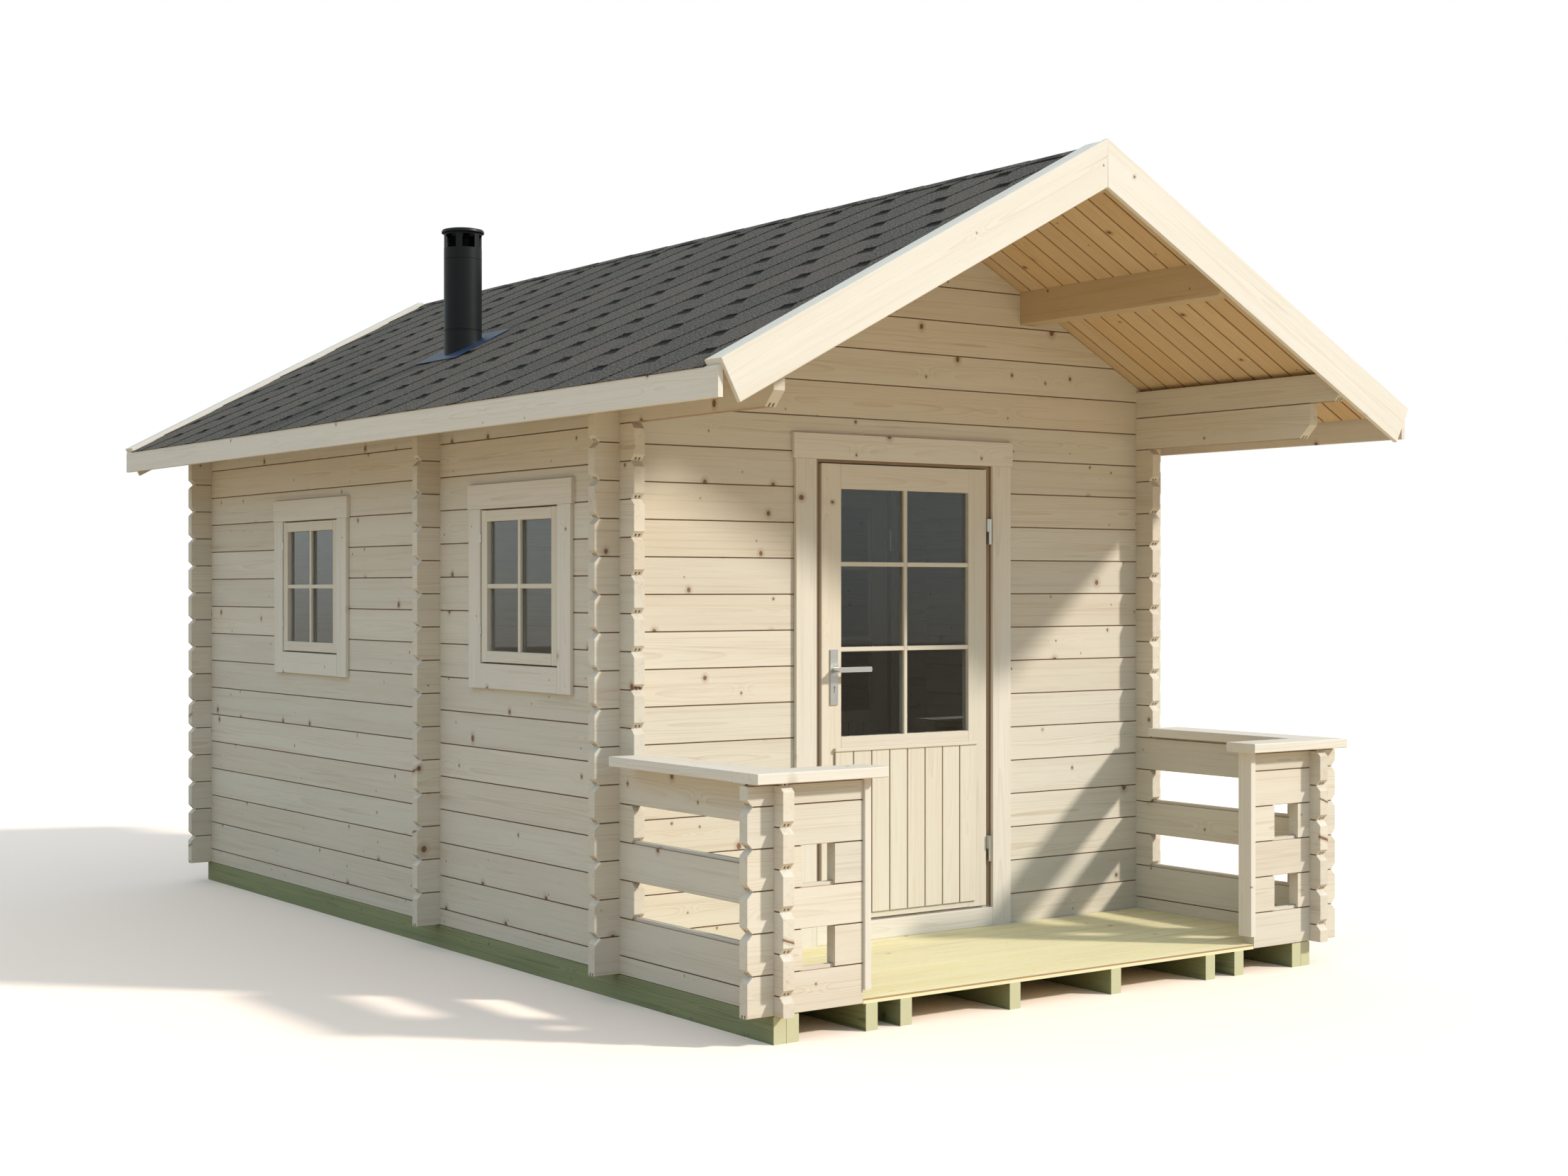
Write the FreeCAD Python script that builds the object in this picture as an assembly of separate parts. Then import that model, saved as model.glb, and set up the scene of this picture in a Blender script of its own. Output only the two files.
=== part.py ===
"""Log sauna cabin with a covered porch, a dressing room and a sauna room.

Millimetres, +Z up. The front faces -Y and the window wall is at -X. Lengths along the cabin are
counted from the front wall's outer face; the finished pieces are moved so that the origin is on
the ground under the middle of the roof.
"""
import FreeCAD
import Part
import math
import os

from FreeCAD import Vector

os.makedirs("parts", exist_ok=True)

# logs
COURSE = 135.0          # working height of one log
LOG_T = 44.0            # thickness of a log
SEAM = 0.6              # gap left between two logs that lie on each other
NOTCH_GAP = 0.5         # play at each side of a crossing
END_CHAMFER = 21.0      # 45 degree chamfer at the free log ends
NOTCH = COURSE / 4.0    # depth of a notch, above and below the neck
TONGUE_W = 9.0
TONGUE_H = 7.5
TONGUE_PITCH = 18.0
END_OUT = 103.0         # how far log ends stand out past the crossing wall
END_OUT_WALL = 98.0     # side-wall ends in front of the front wall
END_OUT_RAIL = 52.0     # side-rail ends in front of the porch returns

# plan
CENTRE_WIDTH = 2560.0   # between the centre lines of the side walls
ROOM_LENGTH = 3917.0    # front wall to rear wall, centre lines
PARTITION_Y = 1400.0    # front face of the partition
PORCH_DEPTH = 945.0     # front wall face to porch return face
BASE_H = 92.0           # height of the ground beams
BEAM_W = 49.0
BEAM_JOINT = 1.5
BEAM_RIGHT_IN = 102.0   # right-hand double beam, inside the wall's inner face
JOIST_LINES = (-928.0, -782.0, -295.0, 191.0, 679.0, 834.0)
FLOOR_T = 18.0
FLOOR_PLAY = 2.0

# course counts
RAIL_COURSES = 5.5          # height of the porch rail
WALL_COURSES = 16.5         # height of the side walls
WINDOW_HEAD_COURSES = 12    # whole side-wall courses below the head of the windows
RAIL_GAPS_SIDE = (2, 4)     # open courses of the side rails
RAIL_GAPS_FRONT = (1, 3)    # open courses of the front returns

# roof
PITCH = 28.0
ROOF_BOARD_T = 20.0
VERGE_T = 19.0
VERGE_W = 77.0
SHINGLE_T = 6.0
EAVE_OUT = 324.0        # outer face of the eave fascias, past the side walls
FASCIA_T = 18.0
FASCIA_H = 97.0
BARGE_T = 18.0
BARGE_W = 151.0
ROOF_FRONT_OUT = 180.0  # front barge boards, past the porch returns
ROOF_REAR_OUT = 289.0   # rear barge boards, past the rear wall
ROOF_PLAY = 0.4
PURLIN_W = 87.0
PURLIN_X = 602.0        # inner face of the middle purlins
PURLIN_H = 131.0        # depth of a purlin at its high side
PURLIN_CHAMFER = 28.0
CANTILEVER_CHAMFER = 50.0
UPPER_CANTILEVER_CHAMFER = 40.0
RIDGE_CAP_W = 48.0

# porch
RETURN_L = 317.0        # length of a return inside the side wall
STUB_OPENING = 115.0    # stub beside the porch opening
STUB_CORNER = 69.0      # stub beside the side rail
COVER_T = 28.0
COVER_FRONT = 10.0
COVER_D = 64.0
COVER_Z = 140.0
CAP_T = 35.0
CAP_OUT = 104.0         # side caps, past the rail's outer face
CAP_SIDE_W = 175.0
CAP_FRONT_OUT = 60.0    # front caps, past the returns' front face
CAP_FRONT_W = 143.0
CAP_END_OUT = 61.0      # front caps, past the end of the returns
CAP_GAP = 0.6

# doors
LEAF_W = 824.0
LEAF_T = 40.0
LEAF_UP = 84.0          # underside of the leaf above the floor
LEAF_H = 1745.0
LEAF_PROUD = 8.0        # leaf face in front of the wall face
STILE_W = 94.0
TOP_RAIL_W = 95.0
GLASS_UP = 703.0        # glass above the underside of the leaf
GLASS_T = 5.0
GLASS_IN = 17.0         # glass behind the leaf face
PANEL_SIDE = 58.0       # stile left showing beside the boarded panel
PANEL_UP = 25.0         # panel above the underside of the leaf
PANEL_BELOW_GLASS = 56.0
PANEL_PROUD = 8.0
PANEL_BOARDS = 8
GROOVE = 3.0
LEDGE_H = 14.0
LEDGE_PROUD = 14.0
LEAF_PLAY = 5.0
JAMB_W = 45.0           # door frame beside the leaf's play
HEAD_W = 43.0           # door frame above the leaf
FRAME_PLAY = 0.5
FRAME_IN = 6.0          # frame face behind the wall face
FRAME_DEPTH = 58.0
STOP_W = 20.0
THRESHOLD_GAP = 10.0    # threshold board below the leaf
TRIM_T = 16.0
TRIM_W = 97.0
DOOR_REVEAL = 28.0      # frame left showing beside the leaf
HEAD_REVEAL = 16.0      # frame left showing above the leaf
TRIM_EAR = 9.0
TRIM_GAP = 0.4
INNER_DOOR_IN = 653.0   # middle of the inner door from the right wall
HINGE_R = 7.0
HINGE_PIN_R = 3.5
HINGE_GAP = 0.4
HINGE_H = 102.0
HINGE_UP = 176.0        # lower hinge above the underside of the leaf
HINGE_DOWN = 197.0      # upper hinge below the top of the leaf
HINGE_PLATE = 2.5
HANDLE_IN = 57.0        # spindle from the edge of the leaf
HANDLE_UP = 961.0       # spindle above the underside of the leaf
PLATE_W = 36.0
PLATE_T = 5.0
PLATE_BELOW = 135.0     # plate's lower end below the spindle
PLATE_H = 211.0
LEVER_L = 146.0
LEVER_W = 20.0
LEVER_T = 10.0
LEVER_OUT = 52.0
NECK_R = 9.0
KEY_R = 5.0
KEY_BELOW = 69.0
PULL_H = 160.0

# windows
WIN_PLAY_SIDE = 10.0    # hole wider than the sash, each side
WIN_PLAY_HEAD = 7.0     # hole higher than the sash, above and below
SASH_W = 600.0
SASH_H = 600.0
SASH_BAR = 47.0
SASH_T = 36.0
SASH_PROUD = 12.0
WIN_REVEAL = 3.0        # gap between sash and trim
LINING_LAP = 15.7       # lining behind the sash

# chimney
FLUE_X = -944.0
FLUE_Y = 1893.0
FLUE_R = 82.0
FLUE_WALL = 3.0
FLUE_BELOW = 120.0      # below the roof boards, at the flue's middle
FLUE_UP = 408.5         # above the same place
FLUE_JOINT_UP = 100.5
FLUE_HOLE_PLAY = 1.0
COWL_H = 134.5
COWL_LID_R = 92.0
COWL_LID_T = 22.0
VENT_W = 56.0
VENT_H = 58.0
VENT_DOWN = 7.0         # top of the vents below the lid
VENT_TURN = 21.0        # degrees from the +X side to the first vent
VENTS = 6
FLASH_W = 300.0
FLASH_L = 380.0
FLASH_T = 2.0
JOINT_BEAD = 2.0

# derived
TAN = math.tan(math.radians(PITCH))
COS = math.cos(math.radians(PITCH))
HALF = CENTRE_WIDTH / 2.0 + LOG_T / 2.0         # outer face of the side walls
INNER = HALF - LOG_T
REAR = ROOM_LENGTH + LOG_T                      # outer face of the rear wall
PORCH_Y = -PORCH_DEPTH
SIDE_Z0 = BASE_H + COURSE / 2.0                 # top of the first half log
WALL_Z = BASE_H + WALL_COURSES * COURSE         # inner top edge of the side walls
RAIL_Z = BASE_H + RAIL_COURSES * COURSE
SOFFIT_APEX = WALL_Z + INNER * TAN
BOARD_APEX = SOFFIT_APEX + ROOF_BOARD_T / COS
FLOOR_Z = BASE_H + FLOOR_T
EAVE_X = HALF + EAVE_OUT
BARGE_FRONT_Y = PORCH_Y - ROOF_FRONT_OUT
BARGE_REAR_Y = REAR + ROOF_REAR_OUT
BARGE_BACK_Y = BARGE_FRONT_Y + BARGE_T
BARGE_REAR_BACK_Y = BARGE_REAR_Y - BARGE_T
CAP_Z = RAIL_Z + TONGUE_H
RETURN_END = INNER - RETURN_L                   # half width of the porch opening
LEAF_Z = FLOOR_Z + LEAF_UP
LEAF_TOP = LEAF_Z + LEAF_H
GLASS_Z = LEAF_Z + GLASS_UP
PANEL_Z = LEAF_Z + PANEL_UP
PANEL_TOP = GLASS_Z - PANEL_BELOW_GLASS
DOOR_HOLE_HALF = LEAF_W / 2.0 + LEAF_PLAY + JAMB_W
DOOR_HOLE_TOP = LEAF_TOP + HEAD_W
DOOR_TRIM_IN = LEAF_W / 2.0 + DOOR_REVEAL
DOOR_TRIM_HEAD_Z = LEAF_TOP + HEAD_REVEAL
INNER_DOOR_X = INNER - INNER_DOOR_IN
HINGE_Z = (LEAF_Z + HINGE_UP, LEAF_TOP - HINGE_DOWN - HINGE_H)
HANDLE_X = LEAF_W / 2.0 - HANDLE_IN
HANDLE_Z = LEAF_Z + HANDLE_UP
KEY_Z = HANDLE_Z - KEY_BELOW
WIN_HOLE = SASH_W + 2 * WIN_PLAY_SIDE
WIN_TOP = SIDE_Z0 + WINDOW_HEAD_COURSES * COURSE
WIN_BOTTOM = WIN_TOP - SASH_H - 2 * WIN_PLAY_HEAD
WIN_MID = (WIN_TOP + WIN_BOTTOM) / 2.0
FRONT_ROOM_MID = (LOG_T + PARTITION_Y) / 2.0
SAUNA_ROOM_MID = (PARTITION_Y + REAR) / 2.0
WIN_Y = (FRONT_ROOM_MID, SAUNA_ROOM_MID)
FLUE_ROOF_Z = SOFFIT_APEX - abs(FLUE_X) * TAN
FLUE_TOP = FLUE_ROOF_Z + FLUE_UP


def box(x0, x1, y0, y1, z0, z1):
    """A box between two corners."""
    return Part.makeBox(x1 - x0, y1 - y0, z1 - z0, Vector(x0, y0, z0))


def save(name, shapes):
    """Write the solids of one piece to its own file, moved to the part's origin."""
    whole = Part.makeCompound([s for shape in shapes for s in shape.Solids])
    whole.translate(Vector(0, -(BARGE_FRONT_Y + BARGE_REAR_Y) / 2.0, 0))
    whole.exportStep("parts/" + name + ".step")


def prism(points, vector):
    """A flat outline swept along a vector."""
    wire = Part.makePolygon(points + points[:1])
    return Part.Face(wire).extrude(vector)


def fused(shapes):
    """Shapes joined to one solid."""
    whole = shapes[0]
    for shape in shapes[1:]:
        whole = whole.fuse(shape)
    return whole.removeSplitter()


def log_outline(u0, u1, z0, z1, crossings, start, end, has_top=True, has_bottom=True):
    """Side view of a log, as (u, z) points.

    start and end are (bottom, top) chamfers. crossings are the (u0, u1) spans of the walls
    that cross, where the log is notched to its neck.
    """
    low = z0 + SEAM / 2.0
    high = z1 - SEAM / 2.0
    points = []
    points += [(u0, low + start[0]), (u0 + start[0], low)] if start[0] else [(u0, low)]
    for a, b in crossings if has_bottom else ():
        a -= NOTCH_GAP
        b += NOTCH_GAP
        points += [(a, low), (a, low + NOTCH), (b, low + NOTCH), (b, low)]
    points += [(u1 - end[0], low), (u1, low + end[0])] if end[0] else [(u1, low)]
    points += [(u1, high - end[1]), (u1 - end[1], high)] if end[1] else [(u1, high)]
    for a, b in reversed(crossings) if has_top else ():
        a -= NOTCH_GAP
        b += NOTCH_GAP
        points += [(b, high), (b, high - NOTCH), (a, high - NOTCH), (a, high)]
    points += [(u0 + start[1], high), (u0, high - start[1])] if start[1] else [(u0, high)]
    return points


def log_along_y(x0, outline):
    """A log of a side wall, its inner or outer face at x0."""
    return prism([Vector(x0, u, z) for u, z in outline], Vector(LOG_T, 0, 0))


def log_along_x(y0, outline):
    """A log of a cross wall, its front face at y0."""
    return prism([Vector(u, y0, z) for u, z in outline], Vector(0, LOG_T, 0))


def tongues_y(x0, u0, u1, z):
    """The two tongues that stand on a log of a side rail."""
    mid = x0 + LOG_T / 2.0
    return [box(mid + s * TONGUE_PITCH / 2 - TONGUE_W / 2, mid + s * TONGUE_PITCH / 2 + TONGUE_W / 2,
                u0, u1, z - SEAM, z + TONGUE_H) for s in (-1, 1)]


def tongues_x(y0, u0, u1, z):
    """The two tongues that stand on a log of a front return."""
    mid = y0 + LOG_T / 2.0
    return [box(u0, u1, mid + s * TONGUE_PITCH / 2 - TONGUE_W / 2,
                mid + s * TONGUE_PITCH / 2 + TONGUE_W / 2, z - SEAM, z + TONGUE_H) for s in (-1, 1)]


def roof_space(y0, y1):
    """Everything above the roof boards' underside, for trimming walls and purlins."""
    z = SOFFIT_APEX - ROOF_PLAY
    reach = EAVE_X + COURSE
    points = [Vector(-reach, y0, z - reach * TAN), Vector(0, y0, z), Vector(reach, y0, z - reach * TAN),
              Vector(reach, y0, z + COURSE * 2), Vector(-reach, y0, z + COURSE * 2)]
    return prism(points, Vector(0, y1 - y0, 0))


def side_course(j):
    """Bottom and top of course j of a side wall; course 0 is the half log."""
    if j == 0:
        return BASE_H, SIDE_Z0
    return SIDE_Z0 + (j - 1) * COURSE, SIDE_Z0 + j * COURSE


def cross_course(k):
    """Bottom and top of course k of a wall that runs across the cabin."""
    return BASE_H + k * COURSE, BASE_H + (k + 1) * COURSE


FRONT_SPAN = (0.0, LOG_T)
PARTITION_SPAN = (PARTITION_Y, PARTITION_Y + LOG_T)
REAR_SPAN = (REAR - LOG_T, REAR)
RETURN_SPAN = (PORCH_Y, PORCH_Y + LOG_T)
WALL_SPANS = [FRONT_SPAN, PARTITION_SPAN, REAR_SPAN]
END = (END_CHAMFER, END_CHAMFER)
FLAT = (0.0, 0.0)
TOP_SIDE = int(WALL_COURSES)
RAIL_SIDE = int(RAIL_COURSES)


def side_wall(sign, windows):
    """All logs of one side wall, with its porch rail and the two cantilever courses."""
    x0 = -HALF if sign < 0 else INNER
    rear_end = REAR + END_OUT
    rail_end = PORCH_Y - END_OUT_RAIL
    wall_end = -END_OUT_WALL
    logs = []
    for j in range(TOP_SIDE + 1):
        z0, z1 = side_course(j)
        spans = list(WALL_SPANS)
        start = END
        end = END
        u0 = wall_end
        u1 = rear_end
        on_beam = j == 0
        if j <= RAIL_SIDE and j not in RAIL_GAPS_SIDE:
            u0 = rail_end
            spans = [RETURN_SPAN] + spans
        if j == 0:
            start = (0.0, END_CHAMFER)
            end = (0.0, END_CHAMFER)
        if j == TOP_SIDE - 1:
            u0 = PORCH_Y
            start = (CANTILEVER_CHAMFER, 0.0)
        if j == TOP_SIDE:
            u0 = BARGE_BACK_Y + ROOF_PLAY
            u1 = BARGE_REAR_BACK_Y - ROOF_PLAY
            start = (UPPER_CANTILEVER_CHAMFER, 0.0)
            end = (UPPER_CANTILEVER_CHAMFER, 0.0)
        log = log_along_y(x0, log_outline(u0, u1, z0, z1, spans, start, end, True, not on_beam))
        if j <= RAIL_SIDE and j not in RAIL_GAPS_SIDE and j > 0:
            gap_back = RETURN_SPAN[1] + (STUB_CORNER if j != RAIL_SIDE else NOTCH_GAP)
            gap_front = -END_OUT_WALL
            log = fused([log] + tongues_y(x0, gap_back, gap_front, z1 - SEAM / 2.0))
        logs.append(log)
        if j in RAIL_GAPS_SIDE:
            stub = log_outline(rail_end, RETURN_SPAN[1] + STUB_CORNER, z0, z1, [RETURN_SPAN], END, FLAT)
            logs.append(log_along_y(x0, stub))
    holes = [box(x0 - LOG_T, x0 + 2 * LOG_T, y - WIN_HOLE / 2, y + WIN_HOLE / 2, WIN_BOTTOM, WIN_TOP)
             for y in windows]
    for hole in holes:
        logs = [log.cut(hole) for log in logs]
    top = roof_space(BARGE_FRONT_Y, BARGE_REAR_Y)
    return logs[:-1] + [logs[-1].cut(top)]


def cross_logs(y0, first, last, u0, u1, start, end, crossings):
    """Courses first to last of a cross wall, between u0 and u1."""
    logs = []
    for k in range(first, last):
        z0, z1 = cross_course(k)
        a = (0.0, start[1]) if k == 0 else start
        b = (0.0, end[1]) if k == 0 else end
        logs.append(log_along_x(y0, log_outline(u0, u1, z0, z1, crossings, a, b)))
    return logs


LEFT_SPAN = (-HALF, -INNER)
RIGHT_SPAN = (INNER, HALF)
OUT = HALF + END_OUT
GABLE_COURSE = int(WALL_COURSES)
TOP_COURSE = math.ceil((SOFFIT_APEX - BASE_H) / COURSE)


def purlin_outlines():
    """Cross sections (x, z) of the ridge purlin and of the two middle purlins."""
    lift = SOFFIT_APEX - ROOF_PLAY
    half = PURLIN_W / 2.0
    low = lift - PURLIN_H
    side = lift - half * TAN
    outlines = [[(-half, low), (half, low), (half, side), (0.0, lift), (-half, side)]]
    a = PURLIN_X
    b = PURLIN_X + PURLIN_W
    low = lift - a * TAN - PURLIN_H
    for s in (-1, 1):
        outlines.append([(s * a, low), (s * b, low), (s * b, lift - b * TAN), (s * a, lift - a * TAN)])
    return outlines


def purlin_holes(y0):
    """Notches for the purlins in the gable logs of a wall at y0."""
    cuts = []
    for outline in purlin_outlines():
        xs = [p[0] for p in outline]
        zs = [p[1] for p in outline]
        cuts.append(box(min(xs) - NOTCH_GAP, max(xs) + NOTCH_GAP, y0 - LOG_T, y0 + 2 * LOG_T,
                        min(zs) - NOTCH_GAP, max(zs) + COURSE))
    return cuts


def gable(y0):
    """The logs of a cross wall above the side walls, trimmed to the roof and the purlins."""
    logs = cross_logs(y0, GABLE_COURSE, TOP_COURSE, -HALF, HALF, FLAT, FLAT, [])
    side_logs = [box(min(s * INNER, s * HALF) - NOTCH_GAP, max(s * INNER, s * HALF) + NOTCH_GAP,
                     y0 - LOG_T, y0 + 2 * LOG_T, cross_course(GABLE_COURSE)[0] - SEAM,
                     cross_course(GABLE_COURSE)[0] + NOTCH + SEAM / 2.0) for s in (-1, 1)]
    for cut in side_logs:
        logs[0] = logs[0].cut(cut)
    trims = [roof_space(y0 - LOG_T, y0 + 2 * LOG_T)] + purlin_holes(y0)
    trimmed = []
    for log in logs:
        for cut in trims:
            log = log.cut(cut)
        trimmed.append(log)
    return [s for log in trimmed for s in log.Solids]


def cross_wall(y0, x_door=None):
    """The logs of a cross wall, as three lists: left of its door hole, right of it, and the rest."""
    logs = cross_logs(y0, 0, GABLE_COURSE, -OUT, OUT, END, END, [LEFT_SPAN, RIGHT_SPAN])
    if x_door is None:
        return [], [], logs + gable(y0)
    hole = box(x_door - DOOR_HOLE_HALF, x_door + DOOR_HOLE_HALF, y0 - LOG_T, y0 + 2 * LOG_T,
               BASE_H - COURSE, DOOR_HOLE_TOP)
    parts = [s for log in logs for s in log.cut(hole).Solids]
    left = [s for s in parts if s.BoundBox.XMax < x_door]
    right = [s for s in parts if s.BoundBox.XMin > x_door]
    above = [s for s in parts if s.BoundBox.XMin < x_door < s.BoundBox.XMax]
    return left, right, above + gable(y0)


def porch_return(sign):
    """The log front of the porch at one side of its opening."""
    logs = []
    corner = LEFT_SPAN if sign < 0 else RIGHT_SPAN
    for k in range(math.ceil(RAIL_COURSES)):
        z0, z1 = cross_course(k)
        z1 = min(z1, RAIL_Z)
        half_log = z1 - z0 < COURSE
        chamfer = (0.0, END_CHAMFER) if k == 0 else (END_CHAMFER, 0.0 if half_log else END_CHAMFER)
        pieces = [(INNER + STUB_CORNER, OUT, True), (RETURN_END, RETURN_END + STUB_OPENING, False)]
        if k not in RAIL_GAPS_FRONT:
            pieces = [(RETURN_END, OUT, True)]
        for a, b, crosses in pieces:
            if k in RAIL_GAPS_FRONT and crosses:
                a = INNER - STUB_CORNER
            u0, u1 = (-b, -a) if sign < 0 else (a, b)
            outer = chamfer if crosses else FLAT
            start, end = (outer, FLAT) if sign < 0 else (FLAT, outer)
            spans = [corner] if crosses else []
            log = log_along_x(PORCH_Y, log_outline(u0, u1, z0, z1, spans, start, end, not half_log, True))
            if k not in RAIL_GAPS_FRONT:
                t0 = RETURN_END + (STUB_OPENING if not half_log else 0.0)
                t1 = INNER - (STUB_CORNER if not half_log else 0.0)
                span = (-t1, -t0) if sign < 0 else (t0, t1)
                if k + 1 in RAIL_GAPS_FRONT or half_log:
                    log = fused([log] + tongues_x(PORCH_Y, span[0], span[1], z1 - SEAM / 2.0))
            logs.append(log)
    return logs


def base_frame():
    """Pressure-treated ground beams: a double beam under each side and six joists."""
    right = INNER - BEAM_RIGHT_IN
    lines = [-HALF, -HALF + BEAM_W + BEAM_JOINT, right, right + BEAM_W + BEAM_JOINT]
    lines += list(JOIST_LINES)
    return [box(x, x + BEAM_W, PORCH_Y, REAR, 0.0, BASE_H) for x in lines]


def porch_deck():
    """Porch deck, with its tongue between the returns."""
    room = box(-INNER + FLOOR_PLAY, INNER - FLOOR_PLAY, PORCH_Y + LOG_T + FLOOR_PLAY, -FLOOR_PLAY,
               BASE_H, FLOOR_Z)
    lip_x = RETURN_END - FLOOR_PLAY
    lip = box(-lip_x, lip_x, PORCH_Y, PORCH_Y + 2 * LOG_T, BASE_H, FLOOR_Z)
    return [fused([room, lip])]


def room_floor(y0, y1):
    """Floor of one room."""
    return box(-INNER + FLOOR_PLAY, INNER - FLOOR_PLAY, y0 + FLOOR_PLAY, y1 - FLOOR_PLAY, BASE_H, FLOOR_Z)


def cover_boards():
    """Upright boards over the ends of the porch returns."""
    boards = []
    for s in (-1, 1):
        a = s * (RETURN_END - NOTCH_GAP)
        b = s * (RETURN_END - COVER_T)
        y = PORCH_Y - COVER_FRONT
        boards.append(box(min(a, b), max(a, b), y, y + COVER_D, COVER_Z, CAP_Z - CAP_GAP))
    return boards


def rail_caps():
    """Flat caps on the porch rails: a front piece and a side piece at each side."""
    caps = []
    outer = HALF + CAP_OUT
    z0 = CAP_Z
    z1 = CAP_Z + CAP_T
    front_y = PORCH_Y - CAP_FRONT_OUT
    back = front_y + CAP_FRONT_W
    for s in (-1, 1):
        front = sorted((s * (RETURN_END - CAP_END_OUT), s * outer))
        side = sorted((s * (outer - CAP_SIDE_W), s * outer))
        caps.append(box(front[0], front[1], front_y, back, z0, z1))
        caps.append(box(side[0], side[1], back + CAP_GAP, -END_OUT_WALL - CAP_GAP, z0, z1))
    return caps


def purlins():
    """Ridge purlin and one purlin halfway down each slope, from verge to verge."""
    y0 = BARGE_BACK_Y + ROOF_PLAY
    y1 = BARGE_REAR_BACK_Y - ROOF_PLAY
    beams = []
    for outline in purlin_outlines():
        beam = prism([Vector(x, y0, z) for x, z in outline], Vector(0, y1 - y0, 0))
        z = min(p[1] for p in outline)
        x = min(p[0] for p in outline) - NOTCH_GAP
        for y, s in ((y0, 1), (y1, -1)):
            corner = [Vector(x, y, z), Vector(x, y + s * PURLIN_CHAMFER, z), Vector(x, y, z + PURLIN_CHAMFER)]
            nose = prism(corner, Vector(PURLIN_W + 2 * NOTCH_GAP, 0, 0))
            beam = beam.cut(nose)
        beams.append(beam)
    return beams


def slope_slab(side, low, high, x0, x1, y0, y1):
    """A slab that follows one slope, between two heights above the soffit plane.

    low and high are measured at right angles to the slope; x0 and x1 bound it in plan.
    """
    a = SOFFIT_APEX + low / COS
    b = SOFFIT_APEX + high / COS
    points = [(x0, a - x0 * TAN), (x1, a - x1 * TAN), (x1, b - x1 * TAN), (x0, b - x0 * TAN)]
    return prism([Vector(side * x, y0, z) for x, z in points], Vector(0, y1 - y0, 0))


def flue_hole(play):
    """Cutter for the flue."""
    return Part.makeCylinder(FLUE_R + play, FLUE_TOP, Vector(FLUE_X, FLUE_Y, 0.0))


def roof_boards(side):
    """Roof boarding of one slope."""
    slab = slope_slab(side, 0.0, ROOF_BOARD_T, ROOF_PLAY, EAVE_X - FASCIA_T - ROOF_PLAY,
                      BARGE_BACK_Y + ROOF_PLAY, BARGE_REAR_BACK_Y - ROOF_PLAY)
    return [slab.cut(flue_hole(FLUE_HOLE_PLAY)) if side < 0 else slab]


def shingles(side):
    """Shingle covering of one slope, between the verge strips."""
    base = ROOF_BOARD_T + ROOF_PLAY
    slab = slope_slab(side, base, base + SHINGLE_T, ROOF_PLAY, EAVE_X + SHINGLE_T,
                      BARGE_BACK_Y + VERGE_W + ROOF_PLAY, BARGE_REAR_BACK_Y - VERGE_W - ROOF_PLAY)
    return [slab.cut(flue_hole(FLUE_HOLE_PLAY)) if side < 0 else slab]


def ridge_cap():
    """Folded shingle strip over the ridge."""
    base = ROOF_BOARD_T + SHINGLE_T + 2 * ROOF_PLAY
    halves = [slope_slab(s, base, base + SHINGLE_T, 0.0, RIDGE_CAP_W, BARGE_BACK_Y + VERGE_W + ROOF_PLAY,
                         BARGE_REAR_BACK_Y - VERGE_W - ROOF_PLAY) for s in (-1, 1)]
    return [fused(halves)]


def verge_strips():
    """Flat strips on the roof edge behind the barge boards."""
    strips = []
    base = ROOF_BOARD_T + ROOF_PLAY
    for side in (-1, 1):
        for y in (BARGE_BACK_Y + ROOF_PLAY, BARGE_REAR_BACK_Y - VERGE_W):
            y_end = y + VERGE_W - ROOF_PLAY
            strips.append(slope_slab(side, base, base + VERGE_T, ROOF_PLAY, EAVE_X, y, y_end))
    return strips


def barge_boards():
    """Barge boards of both gables, mitred at the ridge and cut square at the eaves."""
    top = SOFFIT_APEX + (ROOF_BOARD_T + ROOF_PLAY + VERGE_T) / COS
    drop = BARGE_W / COS
    end_in = BARGE_W * math.sin(math.radians(PITCH))
    end_down = BARGE_W * COS
    boards = []
    for side in (-1, 1):
        tip_z = top - EAVE_X * TAN
        points = [(ROOF_PLAY, top - ROOF_PLAY * TAN), (EAVE_X, tip_z), (EAVE_X - end_in, tip_z - end_down),
                  (ROOF_PLAY, top - drop - ROOF_PLAY * TAN)]
        for y in (BARGE_FRONT_Y, BARGE_REAR_BACK_Y):
            boards.append(prism([Vector(side * x, y, z) for x, z in points], Vector(0, BARGE_T, 0)))
    return boards


def fascias():
    """Eave fascias, their top edges bevelled under the shingles."""
    boards = []
    over = SOFFIT_APEX + ROOF_BOARD_T / COS
    for side in (-1, 1):
        a = EAVE_X - FASCIA_T
        b = EAVE_X
        top_a = over - a * TAN
        top_b = over - b * TAN
        points = [(a, top_b - FASCIA_H), (b, top_b - FASCIA_H), (b, top_b), (a, top_a)]
        y0 = BARGE_BACK_Y + ROOF_PLAY
        y1 = BARGE_REAR_BACK_Y - ROOF_PLAY
        boards.append(prism([Vector(side * x, y0, z) for x, z in points], Vector(0, y1 - y0, 0)))
    return boards


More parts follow.
